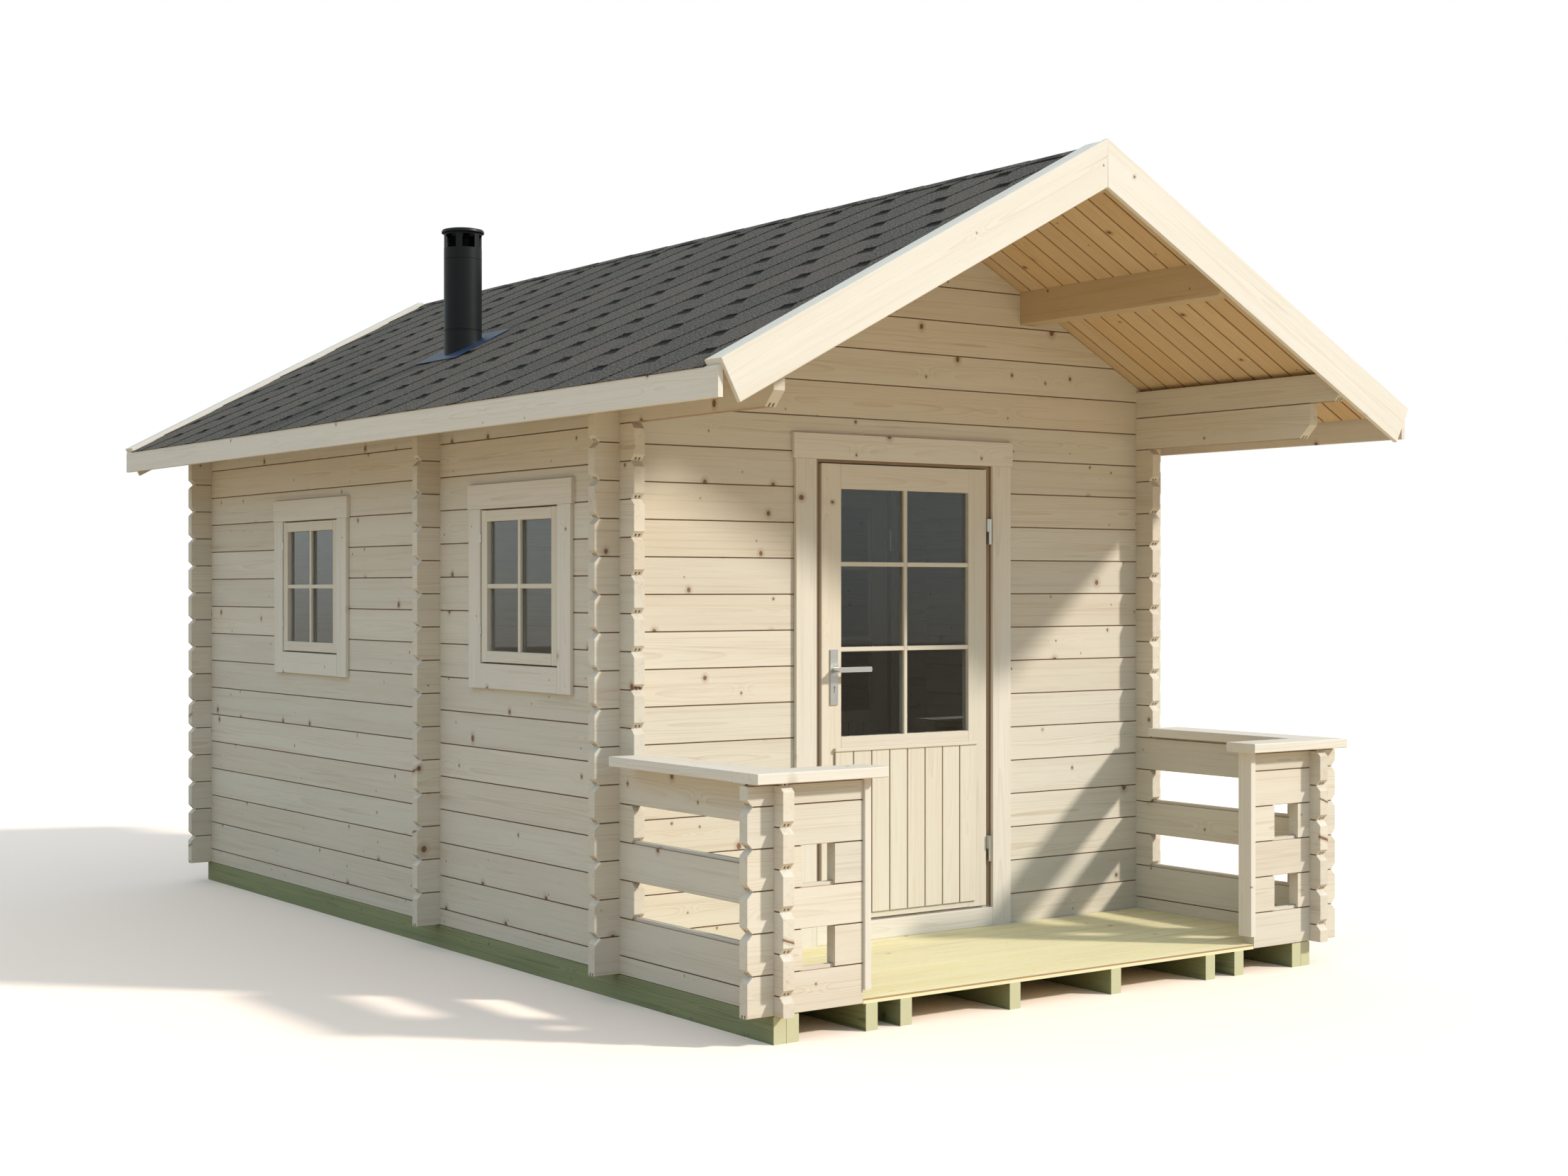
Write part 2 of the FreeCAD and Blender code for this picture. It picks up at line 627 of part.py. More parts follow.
def door_frame(cx, y0):
    """Rebated door frame in the hole of the wall whose front face is at y0."""
    f0 = y0 + FRAME_IN
    f1 = f0 + FRAME_DEPTH
    hole = DOOR_HOLE_HALF - FRAME_PLAY
    rebate = LEAF_W / 2.0 + LEAF_PLAY
    stop_y = y0 - LEAF_PROUD + LEAF_T + LEAF_PLAY
    head = DOOR_HOLE_TOP - FRAME_PLAY
    light_top = LEAF_TOP + LEAF_PLAY
    sill = LEAF_Z - LEAF_PLAY
    body = box(cx - hole, cx + hole, f0, f1, BASE_H, head)
    body = body.cut(box(cx - hole, cx + hole, y0 + LOG_T, f1, BASE_H, FLOOR_Z + FRAME_PLAY))
    body = body.cut(box(cx - rebate, cx + rebate, f0, stop_y, sill, light_top))
    return [body.cut(box(cx - rebate + STOP_W, cx + rebate - STOP_W, f0, f1, sill, light_top - STOP_W))]


def door_architrave(cx, y0):
    """Two side boards and a head board with ears, on the wall face."""
    y1 = y0 - TRIM_GAP
    y_front = y1 - TRIM_T
    out = DOOR_TRIM_IN + TRIM_W
    boards = [box(cx - out, cx - DOOR_TRIM_IN, y_front, y1, FLOOR_Z, DOOR_TRIM_HEAD_Z - TRIM_GAP),
              box(cx + DOOR_TRIM_IN, cx + out, y_front, y1, FLOOR_Z, DOOR_TRIM_HEAD_Z - TRIM_GAP),
              box(cx - out - TRIM_EAR, cx + out + TRIM_EAR, y_front, y1, DOOR_TRIM_HEAD_Z,
                  DOOR_TRIM_HEAD_Z + TRIM_W)]
    return boards


def door_threshold(cx, y0):
    """Board under the leaf, between the side boards of the architrave."""
    half = DOOR_TRIM_IN - TRIM_GAP
    return [box(cx - half, cx + half, y0 - TRIM_T, y0 + FRAME_IN, FLOOR_Z, LEAF_Z - THRESHOLD_GAP)]


def door_leaf(cx, y0):
    """Glazed upper half, closed lower half with a groove for the pane."""
    half = LEAF_W / 2.0
    f0 = y0 - LEAF_PROUD
    f1 = f0 + LEAF_T
    leaf = box(cx - half, cx + half, f0, f1, LEAF_Z, LEAF_TOP)
    light = half - STILE_W
    return [leaf.cut(box(cx - light, cx + light, f0, f1, GLASS_Z, LEAF_TOP - TOP_RAIL_W))]


def door_panel(cx, y0):
    """Grooved boards and their top ledge on the lower half of the leaf."""
    half = LEAF_W / 2.0 - PANEL_SIDE
    f1 = y0 - LEAF_PROUD - FRAME_PLAY
    f0 = f1 - PANEL_PROUD
    panel = box(cx - half, cx + half, f0, f1, PANEL_Z, PANEL_TOP + LEDGE_H)
    pitch = 2 * half / PANEL_BOARDS
    for i in range(1, PANEL_BOARDS):
        x = cx - half + i * pitch
        groove = prism([Vector(x - GROOVE, f0, PANEL_Z), Vector(x, f0 + GROOVE, PANEL_Z),
                        Vector(x + GROOVE, f0, PANEL_Z)], Vector(0, 0, PANEL_TOP - PANEL_Z))
        panel = panel.cut(groove)
    ledge = box(cx - half, cx + half, f1 - LEDGE_PROUD, f1, PANEL_TOP, PANEL_TOP + LEDGE_H)
    return [fused([panel, ledge])]


def door_pane(cx, y0):
    """Glass of the leaf."""
    half = LEAF_W / 2.0 - STILE_W - FRAME_PLAY
    f0 = y0 - LEAF_PROUD + GLASS_IN
    return [box(cx - half, cx + half, f0, f0 + GLASS_T, GLASS_Z + FRAME_PLAY,
                LEAF_TOP - TOP_RAIL_W - FRAME_PLAY)]


def hinge_axis(cx, y0):
    """Plan position of the hinge pin."""
    return cx + (LEAF_W / 2.0 + DOOR_TRIM_IN) / 2.0, y0 - LEAF_PROUD - HINGE_R


def hinge_frame_halves(cx, y0):
    """Lower knuckle with pin and its strap on the frame."""
    x, y = hinge_axis(cx, y0)
    halves = []
    for z in HINGE_Z:
        knuckle = Part.makeCylinder(HINGE_R, HINGE_H / 2 - HINGE_GAP, Vector(x, y, z))
        pin = Part.makeCylinder(HINGE_PIN_R, HINGE_H - HINGE_R, Vector(x, y, z))
        web = box(x, x + HINGE_PLATE, y, y0 + FRAME_IN - HINGE_GAP, z, z + HINGE_H / 2 - HINGE_GAP)
        strap = box(x, x + 2 * HINGE_R, y0 + FRAME_IN - HINGE_GAP - HINGE_PLATE, y0 + FRAME_IN - HINGE_GAP,
                    z, z + HINGE_H / 2 - HINGE_GAP)
        halves.append(fused([knuckle, pin, web, strap]))
    return halves


def hinge_leaf_halves(cx, y0):
    """Upper knuckle and its strap on the leaf's edge."""
    x, y = hinge_axis(cx, y0)
    edge = cx + LEAF_W / 2.0 + HINGE_GAP
    halves = []
    for z in HINGE_Z:
        z1 = z + HINGE_H / 2
        knuckle = Part.makeCylinder(HINGE_R, HINGE_H / 2, Vector(x, y, z1))
        web = box(edge, x, y - HINGE_PLATE, y, z1, z + HINGE_H)
        strap = box(edge, edge + HINGE_PLATE, y - HINGE_PLATE, y0 - LEAF_PROUD + LEAF_T / 2, z1, z + HINGE_H)
        bore = Part.makeCylinder(HINGE_PIN_R + HINGE_GAP, HINGE_H / 2 - HINGE_R + HINGE_GAP, Vector(x, y, z1))
        halves.append(fused([knuckle, web, strap]).cut(bore))
    return halves


def handle_plate(cx, y0):
    """Long plate with a keyhole."""
    x = cx - HANDLE_X
    f1 = y0 - LEAF_PROUD - HINGE_GAP
    z0 = HANDLE_Z - PLATE_BELOW
    plate = box(x - PLATE_W / 2, x + PLATE_W / 2, f1 - PLATE_T, f1, z0, z0 + PLATE_H)
    before = f1 - 2 * PLATE_T
    bore = Part.makeCylinder(NECK_R + HINGE_GAP, 3 * PLATE_T, Vector(x, before, HANDLE_Z), Vector(0, 1, 0))
    key = Part.makeCylinder(KEY_R, 3 * PLATE_T, Vector(x, before, KEY_Z), Vector(0, 1, 0))
    slot = box(x - KEY_R / 2, x + KEY_R / 2, before, f1 + PLATE_T, KEY_Z - 4 * KEY_R, KEY_Z)
    return [plate.cut(bore).cut(key).cut(slot)]


def door_lever(cx, y0):
    """Lever with its neck."""
    x = cx - HANDLE_X
    f1 = y0 - LEAF_PROUD - HINGE_GAP
    y_out = f1 - LEVER_OUT
    neck = Part.makeCylinder(NECK_R, LEVER_OUT - FRAME_PLAY, Vector(x, y_out, HANDLE_Z), Vector(0, 1, 0))
    half = LEVER_W / 2
    grip = box(x - NECK_R, x + LEVER_L, y_out, y_out + LEVER_T, HANDLE_Z - half, HANDLE_Z + half)
    edges = [e for e in grip.Edges if abs(e.Length - LEVER_T) < FRAME_PLAY]
    return [fused([neck, grip.makeFillet(LEVER_T / 2.0, edges)])]


def inner_pull(cx, y0):
    """Plain wooden pull on the inner door."""
    x = cx - HANDLE_X
    f1 = y0 - LEAF_PROUD - HINGE_GAP
    z0 = HANDLE_Z - PULL_H / 2
    z1 = z0 + PULL_H
    grip = box(x - LEVER_W / 2, x + LEVER_W / 2, f1 - LEVER_OUT, f1, z0, z1)
    return [grip.cut(box(x - LEVER_W, x + LEVER_W, f1 - LEVER_OUT + LEVER_W, f1, z0 + LEVER_W, z1 - LEVER_W))]


def door_set(prefix, cx, y0, make_handle):
    """Frame, trims, leaf, panel, pane, hinges and handle of one door."""
    save(prefix + "frame", door_frame(cx, y0))
    save(prefix + "architrave", door_architrave(cx, y0))
    save(prefix + "threshold", door_threshold(cx, y0))
    save(prefix + "leaf", door_leaf(cx, y0))
    save(prefix + "panel", door_panel(cx, y0))
    save(prefix + "pane", door_pane(cx, y0))
    save(prefix + "hinge_frame_halves", hinge_frame_halves(cx, y0))
    save(prefix + "hinge_leaf_halves", hinge_leaf_halves(cx, y0))
    make_handle(cx, y0)


def outer_handle(cx, y0):
    """Plate and lever of the entrance door."""
    save("door_handle_plate", handle_plate(cx, y0))
    save("door_lever", door_lever(cx, y0))


def inner_handle(cx, y0):
    """Pull of the inner door."""
    save("inner_door_pull", inner_pull(cx, y0))


def window_frame(cy):
    """Thin lining of the window hole."""
    hole = WIN_HOLE / 2 - FRAME_PLAY
    x0 = -HALF + SASH_T - SASH_PROUD + FRAME_PLAY
    x1 = -INNER
    light_y = SASH_W / 2 - LINING_LAP
    light_z = SASH_H / 2 - LINING_LAP
    lining = box(x0 - SASH_T, x1, cy - hole, cy + hole, WIN_BOTTOM + FRAME_PLAY, WIN_TOP - FRAME_PLAY)
    sash_room = box(x0 - 2 * SASH_T, x0, cy - SASH_W / 2 - FRAME_PLAY, cy + SASH_W / 2 + FRAME_PLAY,
                    WIN_MID - SASH_H / 2 - FRAME_PLAY, WIN_MID + SASH_H / 2 + FRAME_PLAY)
    opening = box(x0 - 2 * SASH_T, x1 + SASH_T, cy - light_y, cy + light_y,
                  WIN_MID - light_z, WIN_MID + light_z)
    flush = box(-HALF - 2 * SASH_T, -HALF, cy - WIN_HOLE, cy + WIN_HOLE, WIN_BOTTOM, WIN_TOP)
    return lining.cut(sash_room).cut(opening).cut(flush)


def window_sash(cy):
    """Sash bars around the pane."""
    x0 = -HALF - SASH_PROUD
    sash = box(x0, x0 + SASH_T, cy - SASH_W / 2, cy + SASH_W / 2, WIN_MID - SASH_H / 2, WIN_MID + SASH_H / 2)
    a = SASH_W / 2 - SASH_BAR
    b = SASH_H / 2 - SASH_BAR
    return sash.cut(box(x0 - SASH_T, x0 + 2 * SASH_T, cy - a, cy + a, WIN_MID - b, WIN_MID + b))


def window_pane(cy):
    """Glass of a window."""
    x0 = -HALF - SASH_PROUD + GLASS_IN
    a = SASH_W / 2 - SASH_BAR - FRAME_PLAY
    b = SASH_H / 2 - SASH_BAR - FRAME_PLAY
    return box(x0, x0 + GLASS_T, cy - a, cy + a, WIN_MID - b, WIN_MID + b)


def window_trim(cy):
    """Side boards, head board with ears, and bottom board between the side boards."""
    x1 = -HALF - TRIM_GAP
    x0 = x1 - TRIM_T
    a = SASH_W / 2 + WIN_REVEAL
    b = a + TRIM_W
    top = WIN_MID + SASH_H / 2 + WIN_REVEAL
    low = WIN_MID - SASH_H / 2 - WIN_REVEAL
    return [box(x0, x1, cy - b, cy - a, low - TRIM_W, top - TRIM_GAP),
            box(x0, x1, cy + a, cy + b, low - TRIM_W, top - TRIM_GAP),
            box(x0, x1, cy - b - TRIM_EAR, cy + b + TRIM_EAR, top, top + TRIM_W),
            box(x0, x1, cy - a + TRIM_GAP, cy + a - TRIM_GAP, low - TRIM_W, low)]


def flue():
    """Black flue in two lengths with a bead at the joint, open at both ends."""
    z0 = FLUE_ROOF_Z - FLUE_BELOW
    tube = Part.makeCylinder(FLUE_R, FLUE_TOP - z0, Vector(FLUE_X, FLUE_Y, z0))
    bead = Part.makeTorus(FLUE_R, JOINT_BEAD, Vector(FLUE_X, FLUE_Y, FLUE_ROOF_Z + FLUE_JOINT_UP))
    bore = Part.makeCylinder(FLUE_R - FLUE_WALL, FLUE_TOP - z0, Vector(FLUE_X, FLUE_Y, z0))
    return [tube.fuse(bead).cut(bore)]


def cowl():
    """Vented cowl with its lid."""
    z0 = FLUE_TOP + FRAME_PLAY
    z1 = z0 + COWL_H - COWL_LID_T
    shell = Part.makeCylinder(FLUE_R, z1 - z0, Vector(FLUE_X, FLUE_Y, z0))
    shell = shell.cut(Part.makeCylinder(FLUE_R - FLUE_WALL, z1 - z0, Vector(FLUE_X, FLUE_Y, z0)))
    top = z1 - VENT_DOWN
    for i in range(VENTS):
        vent = box(FLUE_X, FLUE_X + 2 * FLUE_R, FLUE_Y - VENT_W / 2, FLUE_Y + VENT_W / 2, top - VENT_H, top)
        vent.rotate(Vector(FLUE_X, FLUE_Y, 0), Vector(0, 0, 1), VENT_TURN + i * 360.0 / VENTS)
        shell = shell.cut(vent)
    lid = Part.makeCone(COWL_LID_R, COWL_LID_R - COWL_LID_T / 2, COWL_LID_T, Vector(FLUE_X, FLUE_Y, z1))
    return [shell.fuse(lid)]


def flashing():
    """Sheet flashing on the shingles around the flue."""
    base = ROOF_BOARD_T + SHINGLE_T + 2 * ROOF_PLAY
    x = -FLUE_X
    half = FLASH_W / 2 * COS
    y0 = FLUE_Y - FLASH_L / 2
    sheet = slope_slab(-1, base, base + FLASH_T, x - half, x + half, y0, y0 + FLASH_L)
    return [sheet.cut(flue_hole(ROOF_PLAY))]


save("base_frame", base_frame())
save("porch_deck", porch_deck())
save("room_floors", [room_floor(LOG_T, PARTITION_Y), room_floor(PARTITION_Y + LOG_T, REAR - LOG_T)])
save("left_wall", side_wall(-1, WIN_Y))
save("right_wall", side_wall(1, ()))
front_left, front_right, front_above = cross_wall(0.0, 0.0)
save("front_wall_left", front_left)
save("front_wall_right", front_right)
save("front_gable", front_above)
save("partition_wall", [log for part in cross_wall(PARTITION_Y, INNER_DOOR_X) for log in part])
save("rear_wall", cross_wall(REAR - LOG_T)[2])
save("porch_returns", porch_return(-1) + porch_return(1))
save("return_cover_boards", cover_boards())
save("rail_caps", rail_caps())
save("purlins", purlins())
save("roof_boards_left", roof_boards(-1))
save("roof_boards_right", roof_boards(1))
save("shingles_left", shingles(-1))
save("shingles_right", shingles(1))
save("ridge_cap", ridge_cap())
save("verge_strips", verge_strips())
save("barge_boards", barge_boards())
save("eave_fascias", fascias())
door_set("door_", 0.0, 0.0, outer_handle)
door_set("inner_door_", INNER_DOOR_X, PARTITION_Y, inner_handle)
save("window_frames", [window_frame(y) for y in WIN_Y])
save("window_sashes", [window_sash(y) for y in WIN_Y])
save("window_panes", [window_pane(y) for y in WIN_Y])
save("window_trims", [board for y in WIN_Y for board in window_trim(y)])
save("chimney_flue", flue())
save("chimney_cowl", cowl())
save("chimney_flashing", flashing())
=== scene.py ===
# %% [markdown]
# # A log sauna cabin, dressed for its picture
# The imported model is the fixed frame: it gives every wall, board and hinge its place. This lesson
# builds the pieces that make the frame look like wood, felt and steel, each as a surface worked out
# with numpy, and then gives every surface a procedural finish.

# %% Load the frame
import math

import bmesh
import bpy
import numpy as np
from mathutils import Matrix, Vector


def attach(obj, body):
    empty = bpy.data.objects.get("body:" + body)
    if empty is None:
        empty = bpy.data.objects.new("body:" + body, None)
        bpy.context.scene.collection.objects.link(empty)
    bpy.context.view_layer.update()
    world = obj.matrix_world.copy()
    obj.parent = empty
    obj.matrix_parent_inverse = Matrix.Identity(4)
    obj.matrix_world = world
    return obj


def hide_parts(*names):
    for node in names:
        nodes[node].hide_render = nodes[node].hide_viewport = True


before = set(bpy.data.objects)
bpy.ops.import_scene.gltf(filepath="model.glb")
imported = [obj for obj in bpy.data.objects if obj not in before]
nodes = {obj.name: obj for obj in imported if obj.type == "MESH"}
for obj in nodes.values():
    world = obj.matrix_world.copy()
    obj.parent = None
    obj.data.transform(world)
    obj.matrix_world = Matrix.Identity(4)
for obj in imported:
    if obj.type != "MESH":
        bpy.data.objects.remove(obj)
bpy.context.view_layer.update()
rng = np.random.default_rng(36)

# %% [markdown]
# The drawings of such a cabin count lengths from the outer face of the front wall, in millimetres.
# The model's origin is under the middle of the roof, so one shift and one scale turn plan
# millimetres into the scene's metres.

# %% Plan millimetres to metres
MM = 0.001
PLAN_SHIFT = np.array([0.0, -1562.5, 0.0])


def to_scene(points):
    """Plan millimetres, shifted to the model's origin, in metres."""
    return (np.asarray(points, dtype=float) + PLAN_SHIFT) * MM


# %% [markdown]
# A mesh is only lists of corners and faces. This helper joins the shells of one piece, stores for
# each corner where it lies along its own timber (`grain`), a random number that all corners of one
# timber share (`tone`) and, face by face, how much shade is painted into it inside a joint, and makes
# the faces look outwards. Keeping these with the mesh lets one wood finish follow every timber,
# whichever way it runs.

# %% From arrays to a piece
WELD, SLIVER = 2e-6, 1e-6


def make_piece(name, shells, material, body, replaced=(), smooth=None):
    """shells are (corners in plan mm, faces, grain in mm, tone, painted joint shade). Returns the finished
    object.
    """
    corners = np.concatenate([to_scene(s[0]) for s in shells])
    grain = np.concatenate([np.asarray(s[2], dtype=float) * MM for s in shells])
    tone = np.concatenate([np.full(len(s[0]), s[3]) for s in shells])
    painted_shade = np.concatenate([np.broadcast_to(s[4], sum(map(len, s[1]))) for s in shells])
    starts = np.cumsum([0] + [len(s[0]) for s in shells[:-1]])
    faces = [[start + i for i in face] for start, shell in zip(starts, shells) for face in shell[1]]
    mesh = bpy.data.meshes.new(name)
    mesh.from_pydata(corners.tolist(), [], faces)
    mesh.attributes.new("grain", "FLOAT_VECTOR", "POINT").data.foreach_set("vector", grain.ravel())
    mesh.attributes.new("tone", "FLOAT", "POINT").data.foreach_set("value", tone)
    mesh.attributes.new("painted_shade", "FLOAT", "CORNER").data.foreach_set("value", painted_shade)
    work = bmesh.new()
    work.from_mesh(mesh)
    bmesh.ops.remove_doubles(work, verts=work.verts, dist=WELD)
    bmesh.ops.dissolve_degenerate(work, edges=work.edges, dist=SLIVER)
    bmesh.ops.recalc_face_normals(work, faces=work.faces)
    work.to_mesh(mesh)
    work.free()
    if smooth is not None:
        mesh.shade_smooth()
        mesh.set_sharp_from_angle(angle=math.radians(smooth))
    piece = bpy.data.objects.new(name, mesh)
    bpy.context.scene.collection.objects.link(piece)
    mesh.materials.append(material)
    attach(piece, body)
    if replaced:
        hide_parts(*replaced)
    print(name, len(mesh.polygons), "faces")
    return piece


# %% [markdown]
# ## Timber as a carried profile
# Every timber here, from a log to a glazing bar, is a cross section carried along its length. The
# cross section hangs on two edges, a low one and a high one, which may move as the profile travels:
# that gives chamfered ends, notches, sloping gable ends and window holes without one Boolean.

# %% Carry a profile along a timber
AXES = {"x": 0, "y": 1, "z": 2}
TINY, LEVEL, THINNEST, DECIMALS = 1e-4, 0.01, 0.2, 3
# MOUTH_SHADE: how much shade is painted into the mouth of a V joint.
MOUTH_SHADE, EASE = 0.75, 2.0


def stations(u0, u1, z0, z1, start=(0, 0), end=(0, 0), low_cuts=(), high_cuts=(), roof=None, extra=()):
    """Places along a timber as columns (u, low, high).

    The low edge is the highest of the plain edge, the two 45 degree chamfer lines and the cuts that
    cover u; the high edge is the lowest of theirs and of the roof line. Each place where a line
    changes is worked out just before and just after, so steps stay upright.
    """
    marks = [u0, u1, u0 + start[0], u0 + start[1], u1 - end[0], u1 - end[1]]
    marks += [m for a, b, _ in tuple(low_cuts) + tuple(high_cuts) for m in (a, b)] + list(extra)
    marks = np.unique(np.clip(np.array(marks, dtype=float), u0, u1))
    u = np.sort(np.concatenate([marks[:1], marks[1:-1] - TINY, marks[1:-1] + TINY, marks[-1:]]))
    low = np.maximum(z0, np.maximum(z0 + start[0] - (u - u0), z0 + end[0] - (u1 - u)))
    high = np.minimum(z1, np.minimum(z1 - start[1] + (u - u0), z1 - end[1] + (u1 - u)))
    if roof is not None:
        high = np.minimum(high, roof(u))
    for a, b, z in low_cuts:
        low = np.where((u > a) & (u < b), np.maximum(low, z), low)
    for a, b, z in high_cuts:
        high = np.where((u > a) & (u < b), np.minimum(high, z), high)
    return np.stack([np.round(u, DECIMALS), low, np.maximum(high, low + THINNEST)], 1)


def edge(across, which, rise=0.0, slot=0.0, groove=0.0, tongue=0.0, dark=0.0):
    """A corner of a profile, hung on the low edge (which = 0) or the high edge (which = 1); dark is the shade
    painted on its faces.
    """
    return across, which, rise, slot, groove, tongue, dark


def carry(order, profile, places, tongue=0.0, groove=0.0, plain=None):
    """The shell of a timber: profile carried through places.

    order names the axes of length, height and thickness. A corner's height is its edge's height
    + rise + slot * p + groove, where p is 1 only where the edge runs at its plain height. So slots,
    grooves and tongues fade out where an end is chamfered or a notch is cut.
    """
    u, low, high = places[:, 0:1], places[:, 1:2], places[:, 2:3]
    plain = plain or (low.min(), high.max())
    across, which, rise, slot, in_groove, on_tongue, dark = np.array(profile, dtype=float).T
    depth = np.clip(groove - (low - plain[0]), 0.0, groove)
    reach = np.minimum(u - u[0], u[-1] - u) - tongue
    lift = np.where(high > plain[1] - LEVEL, np.clip(reach, 0.0, tongue), 0.0)
    is_plain = np.where(which > 0, high > plain[1] - TINY / 2, low < plain[0] + TINY / 2)
    height = np.where(which > 0, high, low) + rise + slot * is_plain + in_groove * depth + on_tongue * lift
    middle = (low + high) / 2.0
    height = np.where(which > 0, np.maximum(height, middle),
                      np.minimum(height, np.maximum(middle, low + groove)))
    grid = np.zeros((len(places), len(profile), 3))
    length_axis, height_axis, thick_axis = (AXES[c] for c in order)
    grid[:, :, length_axis] = u
    grid[:, :, height_axis] = height
    grid[:, :, thick_axis] = across
    n, m = grid.shape[:2]
    i, j = np.meshgrid(np.arange(n - 1), np.arange(m), indexing="ij")
    k = (j + 1) % m
    quads = np.stack([i * m + j, i * m + k, (i + 1) * m + k, (i + 1) * m + j], -1).reshape(-1, 4)
    faces = quads.tolist() + [list(range(m)), list(range((n - 1) * m, n * m))]
    centre = (places[:, 1].min() + places[:, 2].max()) / 2.0
    grain = np.stack([np.broadcast_to(u, height.shape), height - centre,
                      np.broadcast_to(across - across.mean(), height.shape)], -1)
    # Shade painted into joints: each corner's dark, kept only where its edge runs plain or its groove is cut.
    painted_shade_shown = dark * np.where(in_groove > 0, depth > 0.0, is_plain)
    painted_shade = np.concatenate([painted_shade_shown.ravel()[quads.ravel()], np.zeros(2 * m)])
    return grid.reshape(-1, 3), faces, grain.reshape(-1, 3), rng.random(), painted_shade


def board_profile(w0, w1, ease, dark=0.0):
    """An eight-sided section between w0 and w1, its long edges eased; dark is painted shade on the w0 face.
    """
    return [edge(w0, 0, ease, dark=dark), edge(w0 + ease, 0), edge(w1 - ease, 0), edge(w1, 0, ease),
            edge(w1, 1, -ease), edge(w1 - ease, 1), edge(w0 + ease, 1), edge(w0, 1, -ease, dark=dark)]


def joint_rows(face, way, which, ease, slot, depth):
    """The edge of a face that meets its neighbour in a V with a narrow slot behind it, shade painted into the
    V's mouth and the slot.
    """
    up = -1.0 if which else 1.0
    inner = face + way * depth
    return [edge(face, which, up * ease, up * slot),
            edge(face + way * ease, which, 0.0, up * slot, dark=MOUTH_SHADE),
            edge(inner, which, 0.0, up * slot, dark=1.0), edge(inner, which)]


def board(order, u, v, w, ease=1.5, dark=0.0):
    """A straight planed board between three pairs of planes."""
    u0, u1 = sorted(u)
    v0, v1 = sorted(v)
    w0, w1 = sorted(w)
    return carry(order, board_profile(w0, w1, ease, dark), stations(u0, u1, v0, v1))


def matched_board(order, u, v, near, far, ease, slot, depth):
    """A board whose near face meets its neighbours in V joints."""
    way = 1.0 if far > near else -1.0
    profile = joint_rows(near, way, 0, ease, slot, depth) + [edge(far, 0), edge(far, 1)]
    profile += joint_rows(near, way, 1, ease, slot, depth)[::-1]
    return carry(order, profile, stations(u[0], u[1], v[0], v[1]))


# %% [markdown]
# ## Finishes
# An effect that several finishes share is a shader node group, built once. A few helpers keep
# the node wiring short enough to read: they make a node, set or link its sockets and return a result.

# %% Small helpers for node trees
def node(tree, kind, **settings):
    """A new node with its own settings, such as its operation."""
    made = tree.nodes.new(kind)
    for key, value in settings.items():
        setattr(made, key, value)
    return made


def wire(tree, made, values):
    """Set or link the inputs of a node, by index or by name."""
    for key, value in values.items():
        socket = made.inputs[key]
        if isinstance(value, bpy.types.NodeSocket):
            tree.links.new(value, socket)
        else:
            socket.default_value = value
    return made


def calc(tree, operation, a, b=0.0, c=0.0, clamp=False):
    """A Math node's result."""
    made = node(tree, "ShaderNodeMath", operation=operation, use_clamp=clamp)
    return wire(tree, made, {0: a, 1: b, 2: c}).outputs[0]


def blend_colour(tree, factor, a, b, blend_type="MIX"):
    """A Mix Color node's result."""
    made = node(tree, "ShaderNodeMix", data_type="RGBA", blend_type=blend_type)
    return wire(tree, made, {0: factor, 6: a, 7: b}).outputs[2]


def fade(tree, value, low, high):
    """0 below low, 1 above high and a smooth rise between them."""
    made = node(tree, "ShaderNodeMapRange", interpolation_type="SMOOTHSTEP")
    return wire(tree, made, {0: value, 1: low, 2: high, 3: 0.0, 4: 1.0}).outputs[0]


def stretched(tree, vector, scale, offset=(0.0, 0.0, 0.0)):
    """A vector scaled and moved."""
    made = node(tree, "ShaderNodeVectorMath", operation="MULTIPLY_ADD")
    return wire(tree, made, {0: vector, 1: scale, 2: offset}).outputs[0]


def noise(tree, vector, scale, detail=2.0, roughness=0.5):
    """A Noise Texture's value."""
    made = node(tree, "ShaderNodeTexNoise")
    wire(tree, made, {"Vector": vector, "Scale": scale, "Detail": detail, "Roughness": roughness})
    return made.outputs["Fac"]


def new_group(name, inputs, outputs):
    """An empty node group with named sockets: (name, kind, default)."""
    tree = bpy.data.node_groups.new(name, "ShaderNodeTree")
    for label, kind, default in inputs:
        socket = tree.interface.new_socket(label, in_out="INPUT", socket_type=kind)
        if default is not None:
            socket.default_value = default
    for label, kind in outputs:
        tree.interface.new_socket(label, in_out="OUTPUT", socket_type=kind)
    return tree, tree.nodes.new("NodeGroupInput"), tree.nodes.new("NodeGroupOutput")


# %% [markdown]
# Softwood shows four things at this distance: year rings cut lengthwise, which draw long pale and
# darker bands; fine fibres; a few reddish streaks of heartwood; and knots, small brown ovals that
# push the bands aside. The rings come from the distance to a wandering heart line, so faces, edges
# and end grain agree with each other. A branch runs across the timber, so the knots are the centres
# of flat Voronoi cells along and across it, and only cells with a high random number have one.

